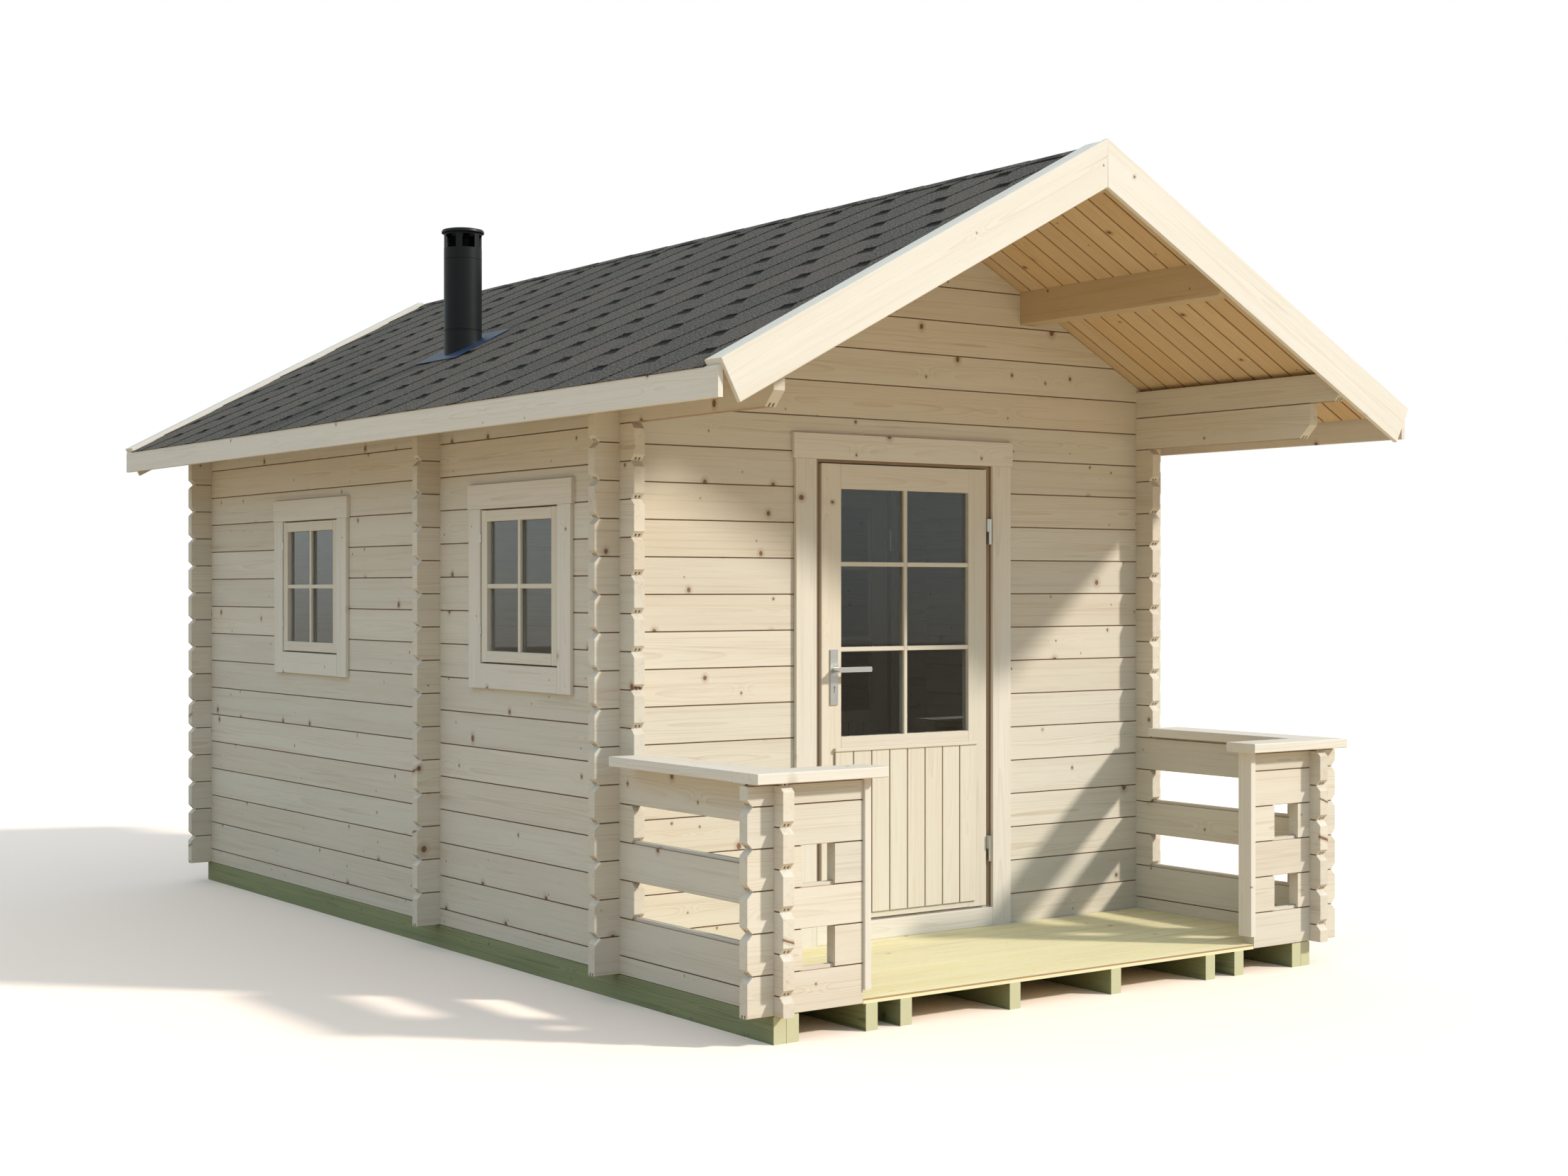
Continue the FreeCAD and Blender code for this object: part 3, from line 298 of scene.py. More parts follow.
# %% The timber group's sockets and measures
FLOAT, VECTOR, COLOUR = "NodeSocketFloat", "NodeSocketVector", "NodeSocketColor"
timber, t_in, t_out = new_group("timber", [
    ("Along", VECTOR, None), ("Tone", FLOAT, 0.5), ("Seam", FLOAT, 0.0),
    ("Pale", COLOUR, (0.8, 0.65, 0.45, 1.0)), ("Dark", COLOUR, (0.6, 0.4, 0.2, 1.0)),
    ("Knot", COLOUR, (0.22, 0.10, 0.04, 1.0)), ("Knots", FLOAT, 0.35), ("Bands", FLOAT, 0.35),
    ("Variety", FLOAT, 0.12), ("Roughness", FLOAT, 0.62)],
    [("Colour", COLOUR), ("Roughness", FLOAT), ("Height", FLOAT)])
TONE_SHIFT = (61.0, 0.11, 0.07)
KNOTS_ALONG, KNOTS_ACROSS, KNOT_LEAN = 6.2, 5.4, 0.35
KNOT_LEAST, KNOT_RANGE, KNOT_POWER, NO_KNOT = 0.014, 0.060, 2.2, 0.0001
KNOT_RAGGED, RAGGED_SCALE, PUSH_FADE, PUSH_DEPTH = 0.030, 75.0, -8.0, 0.022
WANDERS, PATCHES, FIBRES = (0.45, 2.2, 2.2), (0.8, 14.0, 14.0), (9.0, 420.0, 420.0)
CLOUDS, STREAKS, HEARTS = (1.3, 9.0, 9.0), (1.1, 70.0, 70.0), (0.9, 30.0, 30.0)
RINGS_PER_METRE, RING_WANDER, LATE_POWER = 190.0, 0.075, 3.0
# How strongly joints are darkened and the warm brown they are darkened to: painted shade in the joints.
HALO_STRENGTH, CORE_STRENGTH, PAINTED_SHADE_STRENGTH = 0.42, 0.88, 0.94
PAINTED_JOINT_SHADE = (0.290, 0.145, 0.062, 1.0)


def times(a, b):
    """The product of two values in the timber group."""
    return calc(timber, "MULTIPLY", a, b)


def plus(a, b, clamp=False):
    """The sum of two values in the timber group."""
    return calc(timber, "ADD", a, b, clamp=clamp)


def scaled(a, factor, shift=0.0):
    """a * factor + shift in the timber group."""
    return calc(timber, "MULTIPLY_ADD", a, factor, shift)


# %% Where a point lies in its timber
own_tone, bands = t_in.outputs["Tone"], t_in.outputs["Bands"]
tone_shift = node(timber, "ShaderNodeCombineXYZ")
wire(timber, tone_shift, {axis: times(own_tone, shift) for axis, shift in enumerate(TONE_SHIFT)})
moved = node(timber, "ShaderNodeVectorMath", operation="ADD")
along = wire(timber, moved, {0: t_in.outputs["Along"], 1: tone_shift.outputs[0]}).outputs[0]
at = wire(timber, node(timber, "ShaderNodeSeparateXYZ"), {0: along})


def along_grain(stretch, detail=3.0, roughness=0.6):
    """Noise drawn out along the timber."""
    return noise(timber, stretched(timber, along, stretch), 1.0, detail, roughness)


# %% Knots
knot_place = node(timber, "ShaderNodeCombineXYZ")
wire(timber, knot_place, {0: times(at.outputs[0], KNOTS_ALONG),
                          1: times(scaled(at.outputs[2], KNOT_LEAN, at.outputs[1]), KNOTS_ACROSS)})
knot_cells = node(timber, "ShaderNodeTexVoronoi", voronoi_dimensions="2D", feature="F1")
wire(timber, knot_cells, {"Vector": knot_place.outputs[0], "Scale": 1.0, "Randomness": 1.0})
knot_random = node(timber, "ShaderNodeSeparateColor")
wire(timber, knot_random, {0: knot_cells.outputs["Color"]})
has_knot = fade(timber, knot_random.outputs[0], calc(timber, "SUBTRACT", 0.99, t_in.outputs["Knots"]),
                calc(timber, "SUBTRACT", 1.0, t_in.outputs["Knots"]))
knot_size = scaled(calc(timber, "POWER", knot_random.outputs[1], KNOT_POWER), KNOT_RANGE, KNOT_LEAST)
knot_size = scaled(knot_size, has_knot, NO_KNOT)
ragged = scaled(noise(timber, along, RAGGED_SCALE), KNOT_RAGGED, -KNOT_RAGGED / 2.0)
away = plus(knot_cells.outputs["Distance"], ragged)
push = times(calc(timber, "EXPONENT", times(away, PUSH_FADE)), has_knot)

# %% Year rings, fibres and heart streaks
wander = along_grain(WANDERS, 2.0, 0.5)
parts = node(timber, "ShaderNodeSeparateXYZ")
wire(timber, parts, {0: t_in.outputs["Along"]})
across_2 = calc(timber, "POWER", plus(parts.outputs[1], scaled(own_tone, 0.05, -0.025)), 2.0)
depth_2 = calc(timber, "POWER", plus(parts.outputs[2], scaled(own_tone, 0.09, 0.012)), 2.0)
radius = calc(timber, "SQRT", plus(across_2, depth_2))
ring_at = plus(plus(radius, times(wander, RING_WANDER)), times(push, PUSH_DEPTH))
late = calc(timber, "POWER", calc(timber, "FRACT", times(ring_at, RINGS_PER_METRE)), LATE_POWER)
patchy = fade(timber, along_grain(PATCHES, 2.0, 0.5), 0.35, 0.60)
fibre = along_grain(FIBRES)
cloud = along_grain(CLOUDS, 3.0, 0.55)
streaks = fade(timber, along_grain(STREAKS), 0.50, 0.70)
heart = fade(timber, along_grain(HEARTS, 3.0, 0.65), 0.62, 0.80)
band = plus(times(times(late, patchy), bands), times(streaks, times(bands, 0.6)))
band = plus(band, times(calc(timber, "SUBTRACT", cloud, 0.5), times(bands, 0.8)), clamp=True)

# %% The wood's colour
wood = blend_colour(timber, band, t_in.outputs["Pale"], t_in.outputs["Dark"])
reddish = blend_colour(timber, 0.55, t_in.outputs["Dark"], t_in.outputs["Knot"])
wood = blend_colour(timber, times(heart, bands), wood, reddish)
shade = times(calc(timber, "SUBTRACT", fibre, 0.5), 0.16)
lot = times(calc(timber, "SUBTRACT", own_tone, 0.5), t_in.outputs["Variety"])
other = calc(timber, "FRACT", times(own_tone, 37.0))
off_middle = times(calc(timber, "SUBTRACT", other, 0.5), t_in.outputs["Variety"])
hue = node(timber, "ShaderNodeHueSaturation")
wire(timber, hue, {"Hue": scaled(off_middle, -0.08, 0.5), "Saturation": scaled(off_middle, 2.0, 1.0),
                   "Value": plus(1.0, plus(shade, lot)), "Color": wood})
size_ratio = calc(timber, "DIVIDE", away, knot_size)
halo = times(fade(timber, size_ratio, 3.2, 0.9), has_knot)
core = times(fade(timber, size_ratio, 1.20, 0.80), has_knot)
knotty = blend_colour(timber, times(halo, HALO_STRENGTH), hue.outputs[0], reddish)
knotty = blend_colour(timber, times(core, CORE_STRENGTH), knotty, t_in.outputs["Knot"])
# Painted shade: faces inside a joint are mixed towards a warm brown.
with_painted_shade = blend_colour(timber, times(t_in.outputs["Seam"], PAINTED_SHADE_STRENGTH), knotty, PAINTED_JOINT_SHADE)
rough = plus(t_in.outputs["Roughness"], times(band, -0.08))
relief_height = plus(times(fibre, 0.6), times(late, 0.4))
wire(timber, t_out, {"Colour": with_painted_shade, "Roughness": rough, "Height": relief_height})


# %% Timber finishes
GRAIN_RELIEF, WOOD_SHINE = 0.0006, 0.32


def wood_finish(name, pale, dark, knots=0.33, bands=0.35, variety=0.12, roughness=0.62, bump=0.25,
                knot=(0.16, 0.070, 0.030)):
    """A material whose timber group reads the piece's own grain, tone and painted joint shade."""
    material = bpy.data.materials.new(name)
    material.use_nodes = True
    tree = material.node_tree
    shader = tree.nodes["Principled BSDF"]
    grain, tone, painted_shade = (node(tree, "ShaderNodeAttribute", attribute_name=label) for label in
                         ("grain", "tone", "painted_shade"))
    group = node(tree, "ShaderNodeGroup", node_tree=timber)
    wire(tree, group, {"Along": grain.outputs["Vector"], "Tone": tone.outputs["Fac"],
                       "Seam": painted_shade.outputs["Fac"], "Pale": (*pale, 1.0), "Dark": (*dark, 1.0),
                       "Knot": (*knot, 1.0), "Knots": knots, "Bands": bands, "Variety": variety,
                       "Roughness": roughness})
    relief = node(tree, "ShaderNodeBump")
    wire(tree, relief, {"Strength": bump, "Distance": GRAIN_RELIEF, "Height": group.outputs["Height"]})
    wire(tree, shader, {"Base Color": group.outputs["Colour"], "Roughness": group.outputs["Roughness"],
                        "Normal": relief.outputs[0]})
    shader.inputs["Specular IOR Level"].default_value = WOOD_SHINE
    return material


LOG = wood_finish("spruce_log", (0.62, 0.575, 0.49), (0.46, 0.36, 0.25), knots=0.33, bands=0.46, variety=0.12)
TRIM = wood_finish("spruce_trim", (0.67, 0.63, 0.56), (0.52, 0.43, 0.33), knots=0.26, bands=0.36,
                   variety=0.04)
# The roof boards' spruce is darker and warmer than the logs': painted shade and warm bounce for the roof's
# underside.
SOFFIT_PAINTED_SHADE = wood_finish("soffit_board_painted_shade", (0.60, 0.44, 0.26), (0.44, 0.28, 0.14), knots=0.26, bands=0.36,
                     variety=0.07)
JOINERY = wood_finish("pine_joinery", (0.64, 0.59, 0.50), (0.50, 0.40, 0.29), knots=0.05, bands=0.30,
                      variety=0.06)
FLOOR = wood_finish("floor_spruce", (0.66, 0.53, 0.36), (0.48, 0.33, 0.18), knots=0.42, bands=0.42,
                    variety=0.16)
DECK = wood_finish("treated_deck", (0.74, 0.68, 0.42), (0.55, 0.47, 0.23), knots=0.22, bands=0.40,
                   variety=0.08, knot=(0.24, 0.17, 0.07))
BEAM = wood_finish("treated_beam", (0.255, 0.275, 0.145), (0.12, 0.145, 0.072), knots=0.40, bands=0.75,
                   variety=0.12, roughness=0.75, knot=(0.08, 0.08, 0.04))


# %% [markdown]
# ## Logs
# A cabin log is a planed beam with two tongues on top and two grooves below, so the wall is tight.
# Where a wall crosses it, the log is notched a quarter of its height from above and from below, and
# the crossing wall stands half a log higher: each corner locks like fingers. The free ends are cut at
# 45 degrees, and there the grooves come out as two short slots. Shade is painted into the grooves,
# the slots and the V joints between logs.

# %% The log's profile
COURSE, LOG_T, SEAM = 135.0, 44.0, 0.6
NOTCH = COURSE / 4.0
EDGE, SLOT, SLOT_DEPTH = 1.7, 1.2, 9.0
TONGUE_W, TONGUE_H, TONGUE_PITCH = 6.0, 10.0, 15.0
# GROOVE_SHADE: how much shade is painted beside a groove; inside it the painted shade is full.
GROOVE_W, GROOVE_D, GROOVE_SHADE = 7.2, 11.5, 0.5
BASE_H, CHAMFER, PLAY = 92.0, 21.0, 0.5


def log_profile(w0):
    """The section of a log whose near face is at w0: V joints, two grooves, two tongues, with shade painted
    into the joints and grooves.
    """
    w1, mid = w0 + LOG_T, w0 + LOG_T / 2.0
    rows = joint_rows(w0, 1, 0, EDGE, SLOT, SLOT_DEPTH)
    for side in (-1, 1):
        a = mid + side * TONGUE_PITCH / 2.0 - GROOVE_W / 2.0
        b = a + GROOVE_W
        rows += [edge(a, 0, dark=GROOVE_SHADE), edge(a, 0, groove=1, dark=1.0),
                 edge(b, 0, groove=1, dark=1.0), edge(b, 0, dark=GROOVE_SHADE)]
    rows += joint_rows(w1, -1, 0, EDGE, SLOT, SLOT_DEPTH)[::-1]
    rows += joint_rows(w1, -1, 1, EDGE, SLOT, SLOT_DEPTH)
    for side in (1, -1):
        a = mid + side * TONGUE_PITCH / 2.0 - TONGUE_W / 2.0
        b = a + TONGUE_W
        rows += [edge(b, 1), edge(b, 1, tongue=1), edge(a, 1, tongue=1), edge(a, 1)]
    return rows + joint_rows(w0, 1, 1, EDGE, SLOT, SLOT_DEPTH)[::-1]


def log(order, w0, u0, u1, z0, z1, crossings=(), start=(0, 0), end=(0, 0), bottom=True, tongues=True,
        roof=None, extra=(), high_cuts=()):
    """One log, notched a quarter of its height above and below at each crossing span."""
    low, high = z0 + SEAM / 2.0, z1 - SEAM / 2.0
    spans = [(a - PLAY, b + PLAY) for a, b in crossings]
    lows = [(a, b, low + NOTCH) for a, b in spans] if bottom else []
    highs = [(a, b, high - NOTCH) for a, b in spans] if tongues else []
    ramp = [u0 + start[1] + TONGUE_H, u1 - end[1] - TONGUE_H, u0 + start[0] - GROOVE_D,
            u1 - end[0] + GROOVE_D, u0 + TONGUE_H, u0 + 2 * TONGUE_H, u1 - TONGUE_H, u1 - 2 * TONGUE_H]
    places = stations(u0, u1, low, high, start, end, lows, highs + list(high_cuts), roof, list(extra) + ramp)
    return carry(order, log_profile(w0), places, TONGUE_H if tongues else 0.0, GROOVE_D if bottom else 0.0,
                 (low, high))


# %% Where the walls stand
HALF, INNER = 1302.0, 1258.0
PARTITION, REAR, PORCH = 1400.0, 3961.0, -945.0
SIDE_Z0 = BASE_H + COURSE / 2.0
END_OUT, WALL_END, RAIL_END = 103.0, -98.0, PORCH - 52.0
WALL_COURSES, ROOF_GAP = 16.5, 0.4
PITCH = math.radians(28.0)
TAN, COS, SIN = math.tan(PITCH), math.cos(PITCH), math.sin(PITCH)
SOFFIT_APEX = BASE_H + WALL_COURSES * COURSE + INNER * TAN
WALL_SPANS = [(0.0, LOG_T), (PARTITION, PARTITION + LOG_T), (REAR - LOG_T, REAR)]
RETURN_SPAN = (PORCH, PORCH + LOG_T)
SIDE_SPANS = [(-HALF, -INNER), (INNER, HALF)]
ENDS = (CHAMFER, CHAMFER)
BARGE_FRONT, BARGE_BACK, BARGE_T = -1125.0, 4250.0, 18.0
VERGE_FRONT, VERGE_BACK = BARGE_FRONT + BARGE_T + ROOF_GAP, BARGE_BACK - BARGE_T - ROOF_GAP
RAIL_COURSES, RAIL_GAPS, STUB_CORNER = 5, (2, 4), 69.0
LOWER_CANTILEVER, UPPER_CANTILEVER = 15, 16
LOWER_CUT, UPPER_CUT = (50.0, 0.0), (40.0, 0.0)
WINDOWS = (722.0, 2680.5)
WIN_HALF, WIN_LOW, WIN_HIGH = 310.0, 1165.5, 1779.5


# %% Side walls
def side_wall_logs(sign):
    """Half log first, then sixteen courses; rail and cantilever courses run out over the porch."""
    w0 = -HALF if sign < 0 else INNER
    logs = []
    for j in range(UPPER_CANTILEVER + 1):
        z0 = BASE_H if j == 0 else SIDE_Z0 + (j - 1) * COURSE
        z1 = SIDE_Z0 + j * COURSE
        spans, start, end, u0, u1 = list(WALL_SPANS), ENDS, ENDS, WALL_END, REAR + END_OUT
        in_rail = j <= RAIL_COURSES and j not in RAIL_GAPS
        if in_rail:
            u0, spans = RAIL_END, [RETURN_SPAN] + spans
        if j == 0:
            start = end = (0.0, CHAMFER)
        if j == LOWER_CANTILEVER:
            u0, start = PORCH, LOWER_CUT
        outer = None
        if j == UPPER_CANTILEVER:
            u0, u1, start, end = VERGE_FRONT, VERGE_BACK, UPPER_CUT, UPPER_CUT
            outer = lambda u: np.full_like(u, SOFFIT_APEX - HALF * TAN - ROOF_GAP)
        if j in RAIL_GAPS:
            logs.append(log("yzx", w0, RAIL_END, RETURN_SPAN[1] + STUB_CORNER, z0, z1, [RETURN_SPAN], ENDS))
        pieces = [(u0, u1)]
        cuts = []
        if sign < 0 and z0 < WIN_HIGH - 1.0 and z1 > WIN_LOW:
            if z0 < WIN_LOW:
                cuts = [(y - WIN_HALF, y + WIN_HALF, WIN_LOW) for y in WINDOWS]
            else:
                edges = [u0] + [e for y in WINDOWS for e in (y - WIN_HALF, y + WIN_HALF)] + [u1]
                pieces = list(zip(edges[0::2], edges[1::2]))
        for a, b in pieces:
            logs.append(log("yzx", w0, a, b, z0, z1, [s for s in spans if a < s[0] < b],
                            start if a == u0 else (0, 0), end if b == u1 else (0, 0), bottom=j > 0,
                            tongues=j < UPPER_CANTILEVER, roof=outer, high_cuts=cuts))
    return logs


make_piece("left_wall_logs", side_wall_logs(-1), LOG, "cabin", ["left_wall"])
make_piece("right_wall_logs", side_wall_logs(1), LOG, "cabin", ["right_wall"])


# %% [markdown]
# The top side log and the gable logs end under the sloping roof boards. A gable log's high edge
# simply follows the lower of its own top and the roof line, so a triangle at each end falls away.

# %% Cross walls and gables
DOOR_HALF, DOOR_COURSES = 462.0, 14
FIRST_GABLE, LAST_GABLE, GABLE_TIP = 16, 21, 3.0
OUT = HALF + END_OUT


def roof_line(u):
    """Underside of the roof boards over a cross wall."""
    return SOFFIT_APEX - np.abs(u) * TAN - ROOF_GAP


def beside_door(y0, x_door, sides=(-1, 1)):
    """The logs left and right of a door hole."""
    logs = []
    for side in sides:
        for k in range(DOOR_COURSES):
            z0, z1 = BASE_H + k * COURSE, BASE_H + (k + 1) * COURSE
            foot = (0.0, CHAMFER) if k == 0 else ENDS
            if side < 0:
                logs.append(log("xzy", y0, -OUT, x_door - DOOR_HALF, z0, z1, SIDE_SPANS[:1], foot, (0, 0)))
            else:
                logs.append(log("xzy", y0, x_door + DOOR_HALF, OUT, z0, z1, SIDE_SPANS[1:], (0, 0),
                                foot))
    return logs


PURLIN_X, PURLIN_W, PURLIN_Z, RIDGE_Z = 602.0, 87.0, 2537.0, 2857.0


def gable_logs(y0):
    """Whole-width logs above the door, then the logs of the gable, notched round the purlins."""
    logs = []
    for k in range(DOOR_COURSES, FIRST_GABLE):
        logs.append(log("xzy", y0, -OUT, OUT, BASE_H + k * COURSE, BASE_H + (k + 1) * COURSE, SIDE_SPANS,
                        ENDS, ENDS))
    for k in range(FIRST_GABLE, LAST_GABLE + 1):
        z0, z1 = BASE_H + k * COURSE, BASE_H + (k + 1) * COURSE
        reach = min(HALF, (SOFFIT_APEX - z0 - GABLE_TIP) / TAN)
        bend = (SOFFIT_APEX - ROOF_GAP - z1) / TAN
        spans = [(-reach, reach)]
        cuts = []
        if z0 < PURLIN_Z < z1:
            cuts = [(s * PURLIN_X + min(0, s * PURLIN_W) - PLAY, s * PURLIN_X + max(0, s * PURLIN_W) + PLAY,
                     PURLIN_Z - PLAY) for s in (-1, 1)]
        elif z0 > PURLIN_Z:
            spans = [(-min(reach, PURLIN_X - PLAY), min(reach, PURLIN_X - PLAY))]
        if z0 < RIDGE_Z < z1:
            cuts = cuts + [(-PURLIN_W / 2 - PLAY, PURLIN_W / 2 + PLAY, RIDGE_Z - PLAY)]
        elif z0 > RIDGE_Z:
            spans = [(-reach, -PURLIN_W / 2 - PLAY), (PURLIN_W / 2 + PLAY, reach)]
        tongued = z1 < SOFFIT_APEX and k < LAST_GABLE
        for a, b in spans:
            logs.append(log("xzy", y0, a, b, z0, z1, tongues=tongued, roof=roof_line,
                            extra=[-bend, bend, 0.0], high_cuts=cuts))
    return logs


make_piece("front_logs_left", beside_door(0.0, 0.0, [-1]), LOG, "cabin", ["front_wall_left"])
make_piece("front_logs_right", beside_door(0.0, 0.0, [1]), LOG, "cabin", ["front_wall_right"])
make_piece("front_gable_logs", gable_logs(0.0), LOG, "cabin", ["front_gable"])
INNER_DOOR_X = 605.0
make_piece("partition_logs", beside_door(PARTITION, INNER_DOOR_X) + gable_logs(PARTITION), LOG, "cabin",
           ["partition_wall"])
rear_logs = [log("xzy", REAR - LOG_T, -OUT, OUT, BASE_H + k * COURSE, BASE_H + (k + 1) * COURSE, SIDE_SPANS,
                 (0.0, CHAMFER) if k == 0 else ENDS, (0.0, CHAMFER) if k == 0 else ENDS)
             for k in range(DOOR_COURSES)]
make_piece("rear_logs", rear_logs + gable_logs(REAR - LOG_T), LOG, "cabin", ["rear_wall"])

# %% [markdown]
# The porch returns are short log walls at the front corners. Two of their courses are left open
# between stubs, which makes the square holes in the railing.

# %% Porch returns
RETURN_END, STUB_DOOR = 941.0, 115.0
RETURN_GAPS = (1, 3)
RAIL_Z = BASE_H + (RAIL_COURSES + 0.5) * COURSE


def return_logs(sign):
    """One return: five full courses, the second and fourth open, and a half log on top."""
    logs = []
    corner = SIDE_SPANS[0] if sign < 0 else SIDE_SPANS[1]
    for k in range(RAIL_COURSES + 1):
        z0, z1 = BASE_H + k * COURSE, min(BASE_H + (k + 1) * COURSE, RAIL_Z)
        half_log = z1 - z0 < COURSE
        free = (0.0, CHAMFER) if k == 0 else (CHAMFER, 0.0 if half_log else CHAMFER)
        parts = [(RETURN_END, OUT, True)]
        if k in RETURN_GAPS:
            parts = [(INNER - STUB_CORNER, OUT, True), (RETURN_END, RETURN_END + STUB_DOOR, False)]
        for a, b, crosses in parts:
            u0, u1 = (-b, -a) if sign < 0 else (a, b)
            tip = free if crosses else (0, 0)
            ends = (tip, (0, 0)) if sign < 0 else ((0, 0), tip)
            logs.append(log("xzy", PORCH, u0, u1, z0, z1, [corner] if crosses and not half_log else [],
                            *ends))
    return logs


make_piece("porch_return_logs", return_logs(-1) + return_logs(1), LOG, "cabin", ["porch_returns"])

# %% [markdown]
# ## Boards and beams
# The rest of the carcass is plain sawn and planed timber. A board is the same carried profile with
# straight edges, so each is one line: which axis it runs along, and its three pairs of planes.

# %% Ground beams, with painted sunlight on their front ends
BEAM_W, PAINTED_SUNLIT_END = 49.0, (0.57, 0.555, 0.365, 1.0)
BEAM_LINES = (-1302.0, -1251.5, 1156.0, 1206.5, -928.0, -782.0, -295.0, 191.0, 679.0, 834.0)
beam_tree = BEAM.node_tree
beam_shader = beam_tree.nodes["Principled BSDF"]
grain_of_beam = node(beam_tree, "ShaderNodeAttribute", attribute_name="grain")
lengthwise = wire(beam_tree, node(beam_tree, "ShaderNodeSeparateXYZ"), {0: grain_of_beam.outputs["Vector"]})
# Painted sunlight: the front end faces, which face the sun, are mixed towards a paler colour.
painted_sunlit_end = fade(beam_tree, lengthwise.outputs[0], (PORCH + 2.0) * MM, (PORCH + 0.5) * MM)
side_colour = beam_shader.inputs["Base Color"].links[0].from_socket
wire(beam_tree, beam_shader, {"Base Color": blend_colour(
    beam_tree, calc(beam_tree, "MULTIPLY", painted_sunlit_end, 0.8), side_colour, PAINTED_SUNLIT_END)})
make_piece("ground_beams",
           [board("yzx", (PORCH, REAR), (0, BASE_H), (x, x + BEAM_W), EASE) for x in BEAM_LINES],
           BEAM, "cabin", ["base_frame"])

# %% Deck and floors
FLOOR_TOP, FLOOR_PLAY, BOARD_GAP = BASE_H + 18.0, 2.0, 0.15
DECK_W, EDGE_W, FLOOR_W = 95.0, 46.0, 96.0
FLOOR_JOINT = (1.0, 1.0, 7.0)


def board_row(y0, y1, half, width):
    """Floor boards that run across the cabin, side by side from y0 to y1."""
    count = max(1, round((y1 - y0) / width))
    lines = np.linspace(y0, y1, count + 1)
    return [matched_board("xyz", (-half, half), (a + BOARD_GAP, b - BOARD_GAP), FLOOR_TOP, BASE_H,
                          *FLOOR_JOINT)
            for a, b in zip(lines[:-1], lines[1:])]


deck_front = PORCH + LOG_T + FLOOR_PLAY
deck = board_row(deck_front, -FLOOR_PLAY, INNER - FLOOR_PLAY, DECK_W)
deck += board_row(PORCH, deck_front, RETURN_END - FLOOR_PLAY, EDGE_W)
make_piece("deck_boards", deck, DECK, "cabin", ["porch_deck"])
floors = board_row(LOG_T + FLOOR_PLAY, PARTITION - FLOOR_PLAY, INNER - FLOOR_PLAY, FLOOR_W)
floors += board_row(PARTITION + LOG_T + FLOOR_PLAY, REAR - LOG_T - FLOOR_PLAY, INNER - FLOOR_PLAY, FLOOR_W)
make_piece("floor_boards", floors, FLOOR, "cabin", ["room_floors"])

# %% Rail caps and cover boards
CAP_Z, CAP_T, CAP_GAP, CAP_EASE = RAIL_Z + 7.5, 35.0, 0.6, 2.5
CAP_OUT, CAP_IN, CAP_END = 1406.0, 1231.0, 880.0
CAP_FRONT, CAP_BACK, CAP_WALL = -1005.0, -862.0, -98.6
COVER_Z, COVER_T, COVER_IN = 140.0, 28.0, 0.5
COVER_Y = (PORCH - 10.0, PORCH + 54.0)
cover = []
caps = []
for s in (-1, 1):
    cover.append(board("zyx", (COVER_Z, CAP_Z - CAP_GAP), COVER_Y,
                       (s * (RETURN_END - COVER_IN), s * (RETURN_END - COVER_T)), EASE))
    caps.append(board("xyz", (s * CAP_END, s * CAP_OUT), (CAP_FRONT, CAP_BACK), (CAP_Z, CAP_Z + CAP_T),
                      CAP_EASE))
    caps.append(board("yxz", (CAP_BACK + CAP_GAP, CAP_WALL), (s * CAP_IN, s * CAP_OUT),
                      (CAP_Z, CAP_Z + CAP_T), CAP_EASE))
make_piece("return_covers", cover, TRIM, "cabin", ["return_cover_boards"])
make_piece("rail_cap_boards", caps, TRIM, "cabin", ["rail_caps"])

# %% [markdown]
# ## The roof
# Pieces on a slope are drawn flat first: s runs down the slope from the ridge, n stands on it. One
# turn puts them in place. n = 0 is the underside of the roof boards, and the slopes are mirrored, so
# the faces are made to look outwards afterwards.

# %% Flat slope to roof
def on_slope(shell, side):
    """Maps a shell drawn as (s, y, n) onto the left (-1) or right (1) slope."""
    s, y, n = np.asarray(shell[0]).T
    x = side * (s * COS + n * SIN)
    z = SOFFIT_APEX - s * SIN + n * COS
    return (np.stack([x, y, z], 1), *shell[1:])


BOARD_T, EAVE_X, FASCIA_T = 20.0, 1626.0, 18.0
RIDGE_PLAY, ROOF_BOARDS, SEAM_GAP = 0.5, 56, 0.2
SLOPE_END = (EAVE_X - FASCIA_T - ROOF_GAP - BOARD_T * SIN) / COS
FLUE_X, FLUE_Y, FLUE_R = -944.0, 1893.0, 82.0
FLUE_S, FLUE_CLEAR, ABOVE_FLUE, BELOW_FLUE = -FLUE_X / COS, 4.0, 100.0, 106.0
SOFFIT_JOINT = (2.0, 3.0, 11.0)


def roof_board_row(side):
    """Tongue and groove boards from ridge to eave; those at the flue are in two lengths."""
    lines = np.linspace(VERGE_FRONT, VERGE_BACK, ROOF_BOARDS + 1)
    row = []
    for a, b in zip(lines[:-1], lines[1:]):
        lengths = [(RIDGE_PLAY, SLOPE_END)]
        if side < 0 and b > FLUE_Y - FLUE_R - FLUE_CLEAR and a < FLUE_Y + FLUE_R + FLUE_CLEAR:
            lengths = [(RIDGE_PLAY, FLUE_S - ABOVE_FLUE), (FLUE_S + BELOW_FLUE, SLOPE_END)]
        row += [on_slope(matched_board("xyz", u, (a + SEAM_GAP, b - SEAM_GAP), 0.0, BOARD_T, *SOFFIT_JOINT),
                         side) for u in lengths]
    return row


make_piece("roof_board_row_left", roof_board_row(-1), SOFFIT_PAINTED_SHADE, "cabin", ["roof_boards_left"])
make_piece("roof_board_row_right", roof_board_row(1), SOFFIT_PAINTED_SHADE, "cabin", ["roof_boards_right"])

